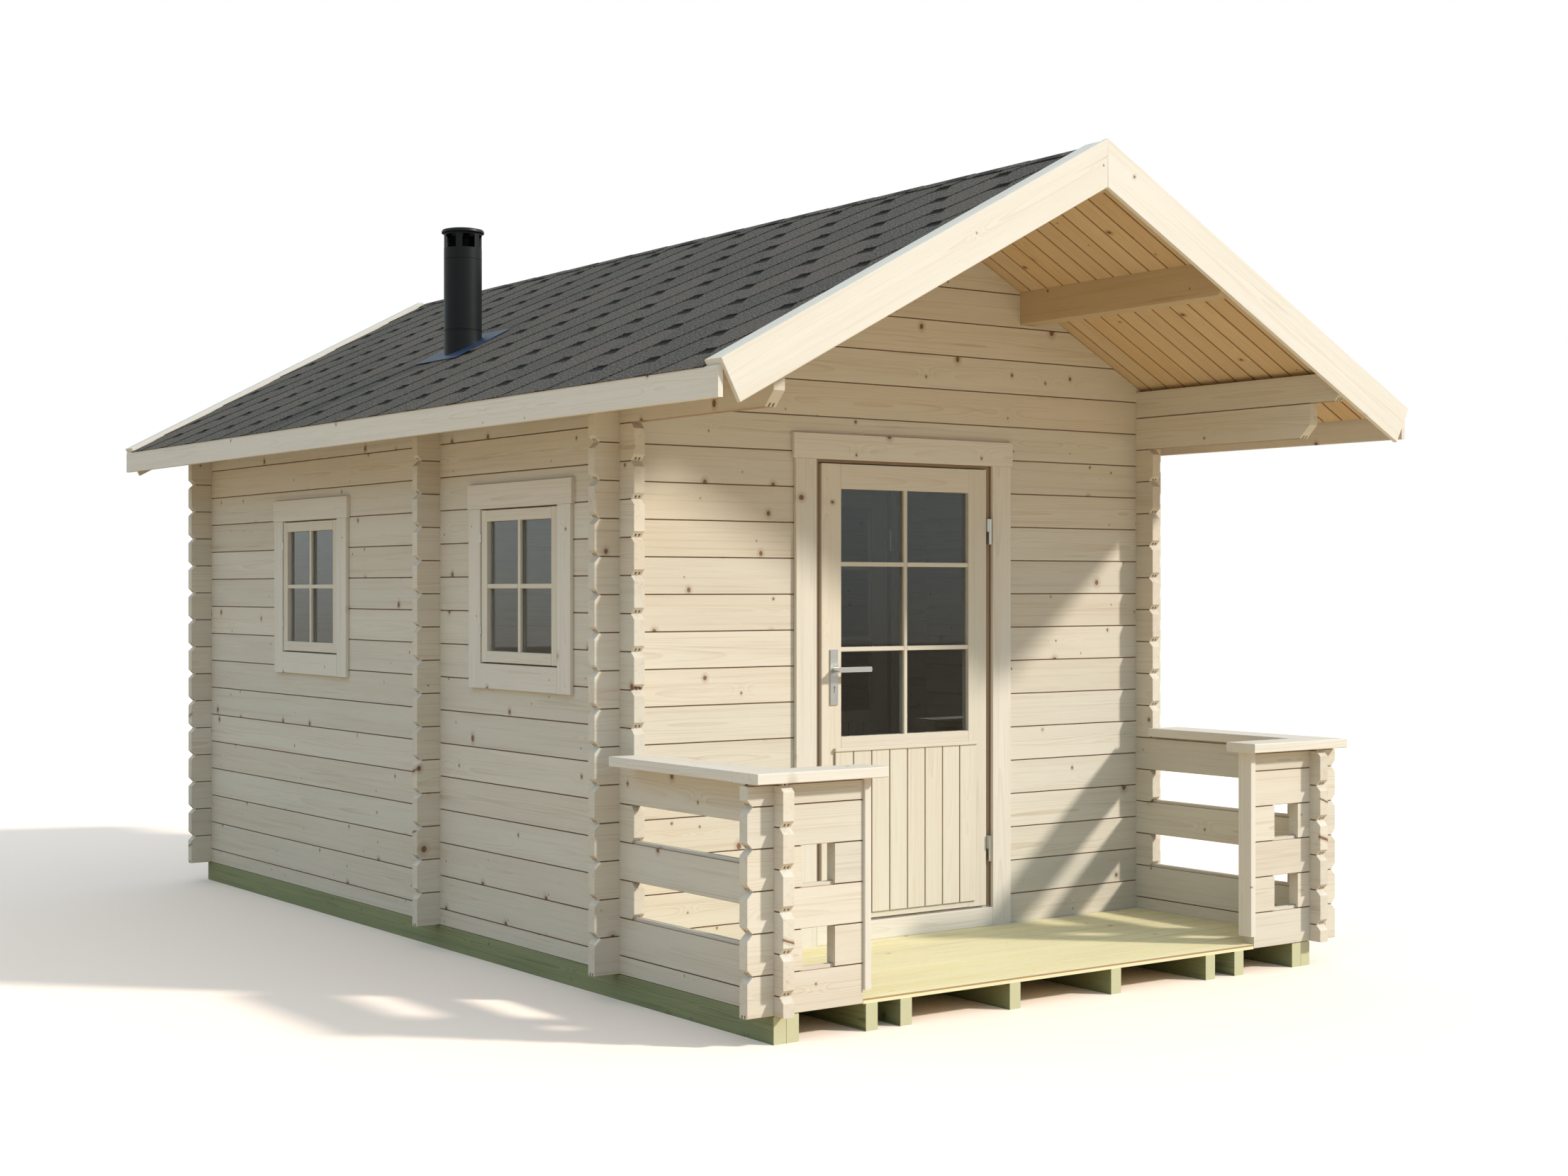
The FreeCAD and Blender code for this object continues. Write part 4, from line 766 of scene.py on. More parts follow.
# %% Purlins
PURLIN_WOOD = wood_finish("purlin_spruce", (0.55, 0.44, 0.29), (0.40, 0.28, 0.15), knots=0.40, bands=0.40)
PURLIN_CUT = (28.0, 0)
purlins = []
for s in (-1, 1):
    a, b = sorted((s * PURLIN_X, s * (PURLIN_X + PURLIN_W)))
    top = SOFFIT_APEX - ROOF_GAP - PURLIN_X * TAN
    low_side = -PURLIN_W * TAN
    rise_a, rise_b = (0.0, low_side) if s > 0 else (low_side, 0.0)
    section = [edge(a, 0, EASE), edge(a + EASE, 0), edge(b - EASE, 0), edge(b, 0, EASE),
               edge(b, 1, rise_b), edge(a, 1, rise_a)]
    purlins.append(carry("yzx", section, stations(VERGE_FRONT, VERGE_BACK, PURLIN_Z, top, PURLIN_CUT,
                                                  PURLIN_CUT)))
half = PURLIN_W / 2.0
section = [edge(-half, 0, EASE), edge(-half + EASE, 0), edge(half - EASE, 0), edge(half, 0, EASE),
           edge(half, 1, -half * TAN), edge(0.0, 1), edge(-half, 1, -half * TAN)]
purlins.append(carry("yzx", section, stations(VERGE_FRONT, VERGE_BACK, RIDGE_Z, SOFFIT_APEX - ROOF_GAP,
                                              PURLIN_CUT, PURLIN_CUT)))
make_piece("purlin_beams", purlins, PURLIN_WOOD, "cabin", ["purlins"])

# %% Barge boards, verge strips and fascias
VERGE_T, VERGE_W, BARGE_W = 19.0, 77.0, 151.0
MITRE_PLAY, NARROWEST, FASCIA_H, FASCIA_EASE = 0.5, 0.01, 97.0, 1.5
verge_top = BOARD_T + ROOF_GAP + VERGE_T
barge_end = (EAVE_X - verge_top * SIN) / COS
bargeboards, strips, eaves = [], [], []
for side in (-1, 1):
    for y0 in (BARGE_FRONT, BARGE_BACK - BARGE_T):
        low = verge_top - BARGE_W
        tip, heel = -verge_top * TAN + MITRE_PLAY, -low * TAN + MITRE_PLAY
        along_barge = np.array([tip, heel, barge_end])
        mitre = verge_top - np.clip((along_barge - tip) / (heel - tip), NARROWEST, 1.0) * BARGE_W
        places = np.stack([along_barge, mitre, np.full(3, verge_top)], 1)
        flat = carry("xzy", board_profile(y0, y0 + BARGE_T, EASE), places)
        bargeboards.append(on_slope(flat, side))
    for y0 in (VERGE_FRONT, VERGE_BACK - VERGE_W + ROOF_GAP):
        flat = board("xyz", (RIDGE_PLAY, barge_end), (y0, y0 + VERGE_W - 2.0 * ROOF_GAP),
                     (BOARD_T + ROOF_GAP, verge_top), FASCIA_EASE)
        strips.append(on_slope(flat, side))
    top_out = SOFFIT_APEX + BOARD_T / COS - EAVE_X * TAN
    a, b = sorted((side * (EAVE_X - FASCIA_T), side * EAVE_X))
    lift_in = FASCIA_T * TAN
    rise_a, rise_b = (lift_in, 0.0) if side > 0 else (0.0, lift_in)
    section = [edge(a, 0, FASCIA_EASE), edge(a + FASCIA_EASE, 0), edge(b - FASCIA_EASE, 0),
               edge(b, 0, FASCIA_EASE), edge(b, 1, rise_b), edge(a, 1, rise_a)]
    eaves.append(carry("yzx", section, stations(VERGE_FRONT, VERGE_BACK, top_out - FASCIA_H, top_out)))
make_piece("barge_board_pairs", bargeboards, TRIM, "cabin", ["barge_boards"])
make_piece("verge_strip_boards", strips, TRIM, "cabin", ["verge_strips"])
make_piece("eave_boards", eaves, TRIM, "cabin", ["eave_fascias"])

# %% [markdown]
# ## Shingles
# Bitumen shingles of this kind come as strips with three tongues. Laid half a tongue apart, they read
# as slim hexagons, and a black band printed at the head of each shows as a dark mark where four meet.
# A row is a thin sheet whose lower edge zigzags; it rests on the row below, so it rises a little
# towards its edge.

# %% Rows of hexagonal shingles
ROW, TAB, FIRST_ROW, MARK_Y = 175.5, 336.7, 80.0, 328.0
FLAT_HALF, SHEET, ROW_LIFT, ROW_RISE = 35.0, 2.5, 3.0, 2.8
HEAD_LEAST, REACH_LEAST, HEAD_LIFT, HEM_LIFT = 3.0, 1.0, 0.15, 0.05
FIRST_N, LAST_N, TABS_IN_ROW = -1, 10, 19
ROOF_TOP = BOARD_T + ROOF_GAP
SHINGLE_FRONT = BARGE_FRONT + BARGE_T + VERGE_W + ROOF_GAP
SHINGLE_BACK = BARGE_BACK - BARGE_T - VERGE_W - ROOF_GAP
EAVE_S = (EAVE_X + 2.5) / COS - ROOF_TOP * TAN


def shingle_row(n):
    """Row n drawn flat: (s, y, n) with its zigzag edge, as one closed sheet.

    The edge is at the row line in the notches and one row lower on the tongues.
    """
    row_line = FIRST_ROW + n * ROW
    shift = MARK_Y + (n % 2) * TAB / 2.0
    first = math.floor((SHINGLE_FRONT - shift) / TAB)
    centres = shift + TAB * np.arange(first, first + TABS_IN_ROW)
    y = np.stack([centres - FLAT_HALF, centres + FLAT_HALF, centres + TAB / 2 - FLAT_HALF,
                  centres + TAB / 2 + FLAT_HALF], 1).ravel()
    zigzag = np.tile([0.0, 0.0, ROW, ROW], len(centres)) + row_line
    head_s = max(HEAD_LEAST, row_line - ROW)
    places = y
    for limit in (head_s + REACH_LEAST, EAVE_S):
        part = (limit - row_line) / ROW
        if 0.0 < part < 1.0:
            off = FLAT_HALF + part * (TAB / 2 - 2 * FLAT_HALF)
            places = np.concatenate([places, centres - off, centres + off])
    places = np.sort(places)
    inside = np.concatenate([[SHINGLE_FRONT], places[(places > SHINGLE_FRONT) & (places < SHINGLE_BACK)],
                             [SHINGLE_BACK]])
    reach = np.clip(np.interp(inside, y, zigzag), head_s + REACH_LEAST, EAVE_S)
    head = np.full_like(reach, head_s)
    rise = lambda s: ROOF_TOP + ROW_LIFT + ROW_RISE * (s - row_line) / ROW
    under = lambda s: np.maximum(ROOF_TOP + HEM_LIFT, rise(s) - SHEET)
    top_head = np.maximum(rise(head), ROOF_TOP + HEAD_LIFT)
    columns = [(head, top_head), (reach, rise(reach)), (reach, under(reach)),
               (head, np.full_like(head, ROOF_TOP))]
    grid = np.stack([np.stack([s, inside, h], 1) for s, h in columns], 1)
    m = len(inside)
    i, j = np.meshgrid(np.arange(m - 1), np.arange(4), indexing="ij")
    k = (j + 1) % 4
    quads = np.stack([i * 4 + j, i * 4 + k, (i + 1) * 4 + k, (i + 1) * 4 + j], -1).reshape(-1, 4)
    faces = quads.tolist() + [[0, 1, 2, 3], [4 * m - 4, 4 * m - 3, 4 * m - 2, 4 * m - 1]]
    grain = np.stack([grid[:, :, 1], grid[:, :, 0] - row_line, np.full(grid.shape[:2], n / MM)], -1)
    return grid.reshape(-1, 3), faces, grain.reshape(-1, 3), (n + 0.5) / (LAST_N - FIRST_N + 1), 0.0


# %% The shingle finish
GRANULE_DARK, GRANULE_PALE = (0.020, 0.018, 0.015, 1.0), (0.150, 0.134, 0.114, 1.0)
RUSTY, FELT_BLACK = (0.100, 0.070, 0.056, 1.0), (0.006, 0.006, 0.007, 1.0)
BAND_DEPTH, BAND_EDGE, CONTACT_SHADE, BAND_SHADE = 0.041, 0.003, 0.72, 0.96
FELT_SHINE, FELT_RELIEF, FELT_BUMP = 0.25, 0.0012, 0.55


def felt_finish():
    """Mineral granules, tabs of slightly different tone and the black band at each tab's head.

    A tab narrows away from its row line: half width = TAB / 2 - FLAT_HALF - slope * |s|. The strip
    just inside that edge, above the row line, lies in the shadow of the sheet on top of it.
    """
    material = bpy.data.materials.new("bitumen_shingle")
    material.use_nodes = True
    tree = material.node_tree
    shader = tree.nodes["Principled BSDF"]
    place = node(tree, "ShaderNodeAttribute", attribute_name="grain").outputs["Vector"]
    xyz = wire(tree, node(tree, "ShaderNodeSeparateXYZ"), {0: place})
    row = calc(tree, "ROUND", xyz.outputs[2])
    odd = calc(tree, "MULTIPLY", calc(tree, "PINGPONG", row, 1.0), 0.5)
    from_mark = calc(tree, "SUBTRACT", xyz.outputs[0], MARK_Y * MM)
    tabs = calc(tree, "SUBTRACT", calc(tree, "DIVIDE", from_mark, TAB * MM), odd)
    own_tab = wire(tree, node(tree, "ShaderNodeCombineXYZ"), {0: calc(tree, "FLOOR", tabs), 1: row, 2: 0.0})
    tab_tone = wire(tree, node(tree, "ShaderNodeTexWhiteNoise"), {0: own_tab.outputs[0]}).outputs["Value"]
    fine, coarse = noise(tree, place, 420.0, 2.0, 0.7), noise(tree, place, 125.0, 2.0, 0.75)
    granule = calc(tree, "MULTIPLY_ADD", coarse, 0.7, calc(tree, "MULTIPLY", fine, 0.3))
    patch = noise(tree, place, 16.0, 3.0, 0.6)
    grey = blend_colour(tree, fade(tree, granule, 0.44, 0.57), GRANULE_DARK, GRANULE_PALE)
    tint = blend_colour(tree, calc(tree, "MULTIPLY", fade(tree, tab_tone, 0.50, 1.0), 0.30), grey, RUSTY)
    value = calc(tree, "ADD", calc(tree, "MULTIPLY_ADD", tab_tone, 0.20, 0.84),
                 calc(tree, "MULTIPLY", patch, 0.14))
    plain_grey = wire(tree, node(tree, "ShaderNodeCombineColor"), {0: value, 1: value, 2: value}).outputs[0]
    toned = blend_colour(tree, 1.0, tint, plain_grey, "MULTIPLY")
    ragged = calc(tree, "MULTIPLY_ADD", coarse, 0.006, -0.003)
    off_centre = calc(tree, "MULTIPLY", calc(tree, "SUBTRACT", tabs, 0.5), TAB * MM)
    from_middle = calc(tree, "PINGPONG", off_centre, TAB * MM / 2.0)
    slope = (TAB / 2.0 - 2.0 * FLAT_HALF) / ROW
    half_width = calc(tree, "MULTIPLY_ADD", calc(tree, "ABSOLUTE", xyz.outputs[1]), -slope,
                      (TAB / 2.0 - FLAT_HALF) * MM)
    inside = calc(tree, "ADD", calc(tree, "SUBTRACT", half_width, from_middle), ragged)
    upper_part = fade(tree, xyz.outputs[1], 0.004, -0.004)
    contact = calc(tree, "MULTIPLY", fade(tree, inside, 0.011, 0.003), upper_part)
    down = calc(tree, "ADD", xyz.outputs[1], ragged)
    black_band = fade(tree, down, -ROW * MM + BAND_DEPTH, -ROW * MM + BAND_DEPTH - BAND_EDGE)
    dark = calc(tree, "MAXIMUM", calc(tree, "MULTIPLY", contact, CONTACT_SHADE),
                calc(tree, "MULTIPLY", black_band, BAND_SHADE))
    printed = blend_colour(tree, dark, toned, FELT_BLACK)
    relief = node(tree, "ShaderNodeBump")
    wire(tree, relief, {"Strength": FELT_BUMP, "Distance": FELT_RELIEF, "Height": granule})
    wire(tree, shader, {"Base Color": printed, "Roughness": 0.92, "Normal": relief.outputs[0]})
    shader.inputs["Specular IOR Level"].default_value = FELT_SHINE
    return material


SHINGLE = felt_finish()
for side, label in ((-1, "left"), (1, "right")):
    rows = [on_slope(shingle_row(n), side) for n in range(FIRST_N, LAST_N + 1)]
    make_piece("shingle_rows_" + label, rows, SHINGLE, "cabin", ["shingles_" + label])

# %% [markdown]
# The ridge is closed with short folded pieces, each lapping the one before it.

# %% Ridge strips
CAP_LEN, CAP_HALF, CAP_FOLD, CAP_SHEET, CAP_LIFT, CAP_LAP = 300.0, 47.0, 3.0, 2.6, 1.6, 8.0
STRIP_BASE, STRIP_GRAIN = 3.6, 50000.0
ridge = []
count = round((SHINGLE_BACK - SHINGLE_FRONT) / CAP_LEN)
lines = np.linspace(SHINGLE_FRONT, SHINGLE_BACK, count + 1)
across = np.array([-CAP_HALF, -CAP_FOLD, 0.0, CAP_FOLD, CAP_HALF])
under_side = np.stack([across * COS, SOFFIT_APEX + (ROOF_TOP + STRIP_BASE) / COS - np.abs(across) * SIN], 1)
ring = np.concatenate([under_side, (under_side + [0.0, CAP_SHEET])[::-1]])
around = len(ring)
for a, b in zip(lines[:-1], lines[1:]):
    y = np.array([a, b + (CAP_LAP if b < SHINGLE_BACK - 1.0 else 0.0)])
    lift = np.array([CAP_LIFT, 0.0])
    grid = np.zeros((2, around, 3))
    grid[:, :, 0] = ring[:, 0]
    grid[:, :, 1] = y[:, None]
    grid[:, :, 2] = ring[:, 1] + lift[:, None]
    faces = [[j, (j + 1) % around, around + (j + 1) % around, around + j] for j in range(around)]
    faces += [list(range(around)), list(range(around, 2 * around))]
    flat = grid.reshape(-1, 3)
    grain = np.stack([flat[:, 1], flat[:, 0], flat[:, 2] * 0 + STRIP_GRAIN + a], 1)
    ridge.append((flat, faces, grain, rng.random(), 0.0))
make_piece("ridge_strips", ridge, SHINGLE, "cabin", ["ridge_cap"])

# %% [markdown]
# ## Doors and windows
# A door leaf is joinery: two stiles, rails between them, a boarded lower half with V joints, and
# thin bars that divide the glass. Both doors are the same, so one function builds either.

# %% The leaf: stiles, rails and boards
LEAF_HALF, LEAF_Z0, LEAF_Z1, LEAF_FRONT, LEAF_BACK = 412.0, 194.0, 1939.0, 8.0, 32.0
GLASS_HALF, GLASS_Z0, GLASS_Z1 = 318.0, 897.0, 1844.0
MID_RAIL, LOW_RAIL, FIT, LEAF_EASE = 56.0, 120.0, 0.3, 1.2
PANEL_HALF, PANEL_Z0, PANEL_Z1, PANEL_T, PANEL_BOARDS = 354.0, 219.0, 841.0, 8.0, 8
PANEL_JOINT, PANEL_GAP = (2.6, 0.9, 6.0), 0.1
LEDGE_Z0, LEDGE_Z1, LEDGE_T = 841.2, 855.0, 14.0


def leaf_boards(cx, y0):
    """Stiles, rails and the backing of the lower half."""
    faces = (y0 - LEAF_FRONT, y0 + LEAF_BACK)
    between = (cx - GLASS_HALF, cx + GLASS_HALF)
    parts = [board("zxy", (LEAF_Z0, LEAF_Z1), (cx + s * LEAF_HALF, cx + s * (GLASS_HALF + 0.2)), faces,
                   LEAF_EASE) for s in (-1, 1)]
    for z in ((GLASS_Z1, LEAF_Z1), (GLASS_Z0 - MID_RAIL, GLASS_Z0), (LEAF_Z0, LEAF_Z0 + LOW_RAIL)):
        parts.append(board("xzy", between, z, faces, LEAF_EASE))
    parts.append(board("zxy", (LEAF_Z0 + LOW_RAIL + FIT, GLASS_Z0 - MID_RAIL - FIT), between,
                       (faces[0] + 0.1, faces[1] - 4.0), LEAF_EASE))
    return parts


def panel_boards(cx, y0):
    """Eight upright boards with V joints, and the ledge on top of them."""
    back = y0 - LEAF_FRONT - 0.5
    lines = np.linspace(cx - PANEL_HALF, cx + PANEL_HALF, PANEL_BOARDS + 1)
    parts = [matched_board("zxy", (PANEL_Z0, PANEL_Z1), (a + PANEL_GAP, b - PANEL_GAP), back - PANEL_T, back,
                           *PANEL_JOINT) for a, b in zip(lines[:-1], lines[1:])]
    parts.append(board("xzy", (cx - PANEL_HALF, cx + PANEL_HALF), (LEDGE_Z0, LEDGE_Z1),
                       (back - LEDGE_T, back), EASE))
    return parts


# %% Glazing bars
BAR_EASE, DOOR_BAR, DOOR_LEVELS = 2.2, 17.5, (1230.5, 1557.0)
DOOR_BAR_DEPTHS = ((-5.0, 8.8), (14.2, 28.0))


def bars(order_up, order_flat, centre, half, z0, z1, uprights, levels, depth, width):
    """Glazing bars: uprights whole, levels cut between them."""
    parts = [board(order_up, (z0, z1), (centre + x - width / 2, centre + x + width / 2), depth, BAR_EASE)
             for x in uprights]
    cuts = [centre - half]
    cuts += [c for x in uprights for c in (centre + x - width / 2, centre + x + width / 2)]
    cuts.append(centre + half)
    for z in levels:
        parts += [board(order_flat, (a, b), (z - width / 2, z + width / 2), depth, BAR_EASE)
                  for a, b in zip(cuts[0::2], cuts[1::2])]
    return parts


def door_bars(cx, y0):
    """Bars on both faces of the pane, two by three lights."""
    parts = []
    for near, far in DOOR_BAR_DEPTHS:
        parts += bars("zxy", "xzy", cx, GLASS_HALF, GLASS_Z0, GLASS_Z1, (0.0,), DOOR_LEVELS,
                      (y0 + near, y0 + far), DOOR_BAR)
    return parts


# %% Frame and architrave
HOLE, REBATE, STOP = 461.5, 417.0, 397.0
FRAME_FRONT, FRAME_BACK, STOP_FRONT, FRAME_EASE, LIP_SHADE = 6.0, 64.0, 37.0, 1.0, 0.8
FRAME_Z0, FRAME_Z1, FRAME_TOP, STOP_Z1, SILL_Z0 = 189.0, 1944.0, 1981.5, 1924.0, 111.0
TRIM_T, TRIM_EASE, TRIM_GAP = 16.0, 1.8, 0.4
SIDE_IN, SIDE_OUT, SIDE_Z, HEAD_Z, HEAD_EAR = 440.0, 537.0, (110.0, 1954.6), (1955.0, 2052.0), 9.0
SILL_HALF, SILL_Z, SILL_Y = 439.6, (110.0, 184.0), (-16.0, 6.0)


def frame_boards(cx, y0):
    """Jambs, head and sill with their rebates, each as a deep and a shallow board; the fronts of the deep
    jambs and head get painted shade.
    """
    parts = []
    deep, shallow = (y0 + FRAME_FRONT, y0 + FRAME_BACK), (y0 + STOP_FRONT, y0 + FRAME_BACK)
    for s in (-1, 1):
        # The fronts seen in the gap beside the leaf are darkened: painted shade.
        parts.append(board("zxy", (FRAME_Z0, FRAME_Z1), (cx + s * HOLE, cx + s * REBATE), deep, FRAME_EASE,
                           dark=LIP_SHADE))
        parts.append(board("zxy", (FRAME_Z0, STOP_Z1), (cx + s * (REBATE - 0.1), cx + s * STOP), shallow,
                           FRAME_EASE))
    parts.append(board("xzy", (cx - HOLE, cx + HOLE), (FRAME_Z1 + 0.1, FRAME_TOP), deep, FRAME_EASE,
                       dark=LIP_SHADE))
    parts.append(board("xzy", (cx - REBATE, cx + REBATE), (STOP_Z1 + 0.1, FRAME_Z1), shallow, FRAME_EASE))
    parts.append(board("xzy", (cx - HOLE, cx + HOLE), (SILL_Z0, FRAME_Z0 - 0.1), deep, FRAME_EASE))
    return parts


def architrave_boards(cx, y0):
    """Side boards and a head board with ears."""
    depth = (y0 - TRIM_GAP - TRIM_T, y0 - TRIM_GAP)
    parts = [board("zxy", SIDE_Z, (cx + s * SIDE_IN, cx + s * SIDE_OUT), depth, TRIM_EASE) for s in (-1, 1)]
    ear = SIDE_OUT + HEAD_EAR
    parts.append(board("xzy", (cx - ear, cx + ear), HEAD_Z, depth, TRIM_EASE))
    return parts


# %% Both doors
DOORS = (("door", 0.0, 0.0, "door"), ("inner_door", INNER_DOOR_X, PARTITION, "inner_door"))
for prefix, cx, y0, body in DOORS:
    make_piece(prefix + "_leaf_joinery", leaf_boards(cx, y0), JOINERY, body, [prefix + "_leaf"])
    make_piece(prefix + "_panel_boards", panel_boards(cx, y0), JOINERY, body, [prefix + "_panel"])
    make_piece(prefix + "_glazing_bars", door_bars(cx, y0), JOINERY, body, ())
    make_piece(prefix + "_frame_boards", frame_boards(cx, y0), JOINERY, "cabin", [prefix + "_frame"])
    make_piece(prefix + "_architrave_boards", architrave_boards(cx, y0), TRIM, "cabin",
               [prefix + "_architrave"])
    sill = [board("xzy", (cx - SILL_HALF, cx + SILL_HALF), SILL_Z, (y0 + SILL_Y[0], y0 + SILL_Y[1]), EASE)]
    make_piece(prefix + "_threshold_board", sill, TRIM, "cabin", [prefix + "_threshold"])

# %% Windows
SASH_HALF, SASH_BAR, WIN_MID = 300.0, 47.0, (WIN_LOW + WIN_HIGH) / 2.0
SASH_SEEN, SASH_OUT, SASH_IN = SASH_HALF - 3.0, 12.0, 24.0
LIGHT = SASH_HALF - SASH_BAR
WINDOW_BAR, WINDOW_BAR_DEPTHS = 18.0, ((3.0, 16.8), (22.2, 34.0))
LINING_SIDE, LINING_HEAD, LINING_IN, LINING_LAP = 309.5, 306.5, SASH_HALF - SASH_BAR / 3.0, 0.5
STRIP_IN, STRIP_END, STRIP_EASE = 300.5, 300.4, 0.6
TRIM_IN, TRIM_OUT, TRIM_W = 303.0, 400.0, 97.0
sashes, linings, trims, window_bars = [], [], [], []


def upright_pair(cy, z, near, far, depth, ease, dark=0.0):
    """Two upright boards left and right of a window's middle."""
    return [board("zyx", z, (cy + s * near, cy + s * far), depth, ease, dark) for s in (-1, 1)]


def level_pair(cy, half, near, far, depth, ease, dark=0.0):
    """Two level boards below and above a window's middle."""
    return [board("yzx", (cy - half, cy + half), (WIN_MID + s * near, WIN_MID + s * far), depth, ease, dark)
            for s in (-1, 1)]


for cy in WINDOWS:
    x0, x1 = -HALF - SASH_OUT, -HALF + SASH_IN
    sash_z = (WIN_MID - SASH_SEEN, WIN_MID + SASH_SEEN)
    sashes += upright_pair(cy, sash_z, SASH_SEEN, LIGHT + 0.1, (x0, x1), EASE)
    sashes += level_pair(cy, LIGHT, SASH_SEEN, LIGHT, (x0, x1), EASE)
    for near, far in WINDOW_BAR_DEPTHS:
        window_bars += bars("zyx", "yzx", cy, LIGHT, WIN_MID - LIGHT, WIN_MID + LIGHT, (0.0,), (WIN_MID,),
                            (x0 + near, x0 + far), WINDOW_BAR)
    lining_z = (WIN_LOW + LINING_LAP, WIN_HIGH - LINING_LAP)
    behind, beside = (x1 + LINING_LAP, -INNER), (-HALF, x1 + LINING_LAP)
    linings += upright_pair(cy, lining_z, LINING_SIDE, LINING_IN, behind, 1.0)
    linings += level_pair(cy, LINING_IN, LINING_HEAD, LINING_IN, behind, 1.0)
    # The strips beside the sash are fully darkened: painted shade in the gap round the sash.
    linings += upright_pair(cy, lining_z, LINING_SIDE, STRIP_IN, beside, STRIP_EASE, dark=1.0)
    linings += level_pair(cy, STRIP_END, LINING_HEAD, STRIP_IN, beside, STRIP_EASE, dark=1.0)
    depth = (-HALF - TRIM_GAP - TRIM_T, -HALF - TRIM_GAP)
    top, low = WIN_MID + TRIM_IN, WIN_MID - TRIM_IN
    trims += upright_pair(cy, (low - TRIM_W, top - TRIM_GAP), TRIM_IN, TRIM_OUT, depth, TRIM_EASE)
    ear, inset = TRIM_OUT + HEAD_EAR, TRIM_IN - TRIM_GAP
    trims.append(board("yzx", (cy - ear, cy + ear), (top, top + TRIM_W), depth, TRIM_EASE))
    trims.append(board("yzx", (cy - inset, cy + inset), (low - TRIM_W, low), depth, TRIM_EASE))
make_piece("window_sash_bars", sashes, JOINERY, "cabin", ["window_sashes"])
make_piece("window_glazing_bars", window_bars, JOINERY, "cabin", ())
make_piece("window_linings", linings, JOINERY, "cabin", ["window_frames"])
make_piece("window_trim_boards", trims, TRIM, "cabin", ["window_trims"])

# %% The inner door's pull
PULL_Z0, PULL_Z1, PULL_T, PULL_X = 1075.0, 1235.0, 20.0, (240.0, 260.0)
PULL_OUT, PULL_BACK, PULL_FOOT = PARTITION - 60.4, PARTITION - 40.4, PARTITION - 8.4
PULL_EASE, POST_EASE = 4.0, 3.0
pull = [board("zxy", (PULL_Z0, PULL_Z1), PULL_X, (PULL_OUT, PULL_BACK), PULL_EASE)]
pull += [board("yxz", (PULL_BACK, PULL_FOOT), PULL_X, (z, z + PULL_T), POST_EASE)
         for z in (PULL_Z0, PULL_Z1 - PULL_T)]
make_piece("inner_pull_grip", pull, JOINERY, "inner_door", ["inner_door_pull"])


# %% [markdown]
# ## Metal, glass and the flue
# Satin steel, black stove paint and float glass are plain finishes, so each needs only a little
# variation in its roughness. The glass is the CAD pane with a clear finish.

# %% Metal and glass finishes
DARKEST, METAL_RELIEF, METAL_BUMP = 0.86, 0.0004, 0.05


def smooth_finish(name, colour, metallic, roughness, spread, scale, stretch=(1.0, 1.0, 1.0), shine=0.5):
    """A plain finish whose roughness and tone vary a little over the surface."""
    material = bpy.data.materials.new(name)
    material.use_nodes = True
    tree = material.node_tree
    shader = tree.nodes["Principled BSDF"]
    place = node(tree, "ShaderNodeTexCoord").outputs["Object"]
    cloud = noise(tree, stretched(tree, place, stretch), scale, 3.0, 0.6)
    dark = tuple(DARKEST * c for c in colour)
    wire(tree, shader, {"Base Color": blend_colour(tree, cloud, (*dark, 1.0), (*colour, 1.0)),
                        "Metallic": metallic,
                        "Roughness": calc(tree, "MULTIPLY_ADD", cloud, spread, roughness - spread / 2)})
    relief = node(tree, "ShaderNodeBump")
    wire(tree, relief, {"Strength": METAL_BUMP, "Distance": METAL_RELIEF, "Height": cloud})
    wire(tree, shader, {"Normal": relief.outputs[0]})
    shader.inputs["Specular IOR Level"].default_value = shine
    return material


STEEL = smooth_finish("satin_steel", (0.78, 0.78, 0.77), 1.0, 0.32, 0.14, 60.0, (1.0, 1.0, 8.0))
BLACK = smooth_finish("stove_black", (0.007, 0.008, 0.010), 0.0, 0.42, 0.12, 25.0, shine=0.22)
# The pipe inside the cowl is near black and matt, so the vents read dark: painted shade inside the cowl.
INNER_PIPE_SHADE = smooth_finish("inner_pipe_painted_shade", (0.003, 0.003, 0.003), 0.0, 0.95, 0.04, 25.0, shine=0.02)
SHEET_BLUE = smooth_finish("flashing_coat", (0.018, 0.040, 0.095), 0.0, 0.45, 0.10, 20.0, shine=0.20)

GLASS = bpy.data.materials.new("float_glass")
GLASS.use_nodes = True
glass_shader = GLASS.node_tree.nodes["Principled BSDF"]
glass_place = node(GLASS.node_tree, "ShaderNodeTexCoord").outputs["Object"]
haze = noise(GLASS.node_tree, glass_place, 3.0, 2.0)
wire(GLASS.node_tree, glass_shader, {
    "Base Color": (0.82, 0.87, 0.86, 1.0), "IOR": 1.45, "Transmission Weight": 1.0,
    "Roughness": calc(GLASS.node_tree, "MULTIPLY_ADD", haze, 0.02, 0.0)})


def dress(name, material):
    """Give a CAD node its finish."""
    mesh = nodes[name].data
    mesh.materials.clear()
    mesh.materials.append(material)


for name in ("door_pane", "inner_door_pane", "window_panes"):
    dress(name, GLASS)
for name in ("door_hinge_frame_halves", "door_hinge_leaf_halves", "inner_door_hinge_frame_halves",
             "inner_door_hinge_leaf_halves", "door_handle_plate", "door_lever"):
    dress(name, STEEL)
dress("chimney_flashing", SHEET_BLUE)


# %% [markdown]
# The flue and its cowl are turned shapes: a profile of radius and height spun round an axis. The
# cowl's six vents are left out of the spun grid where both the angle and the height fall inside one.

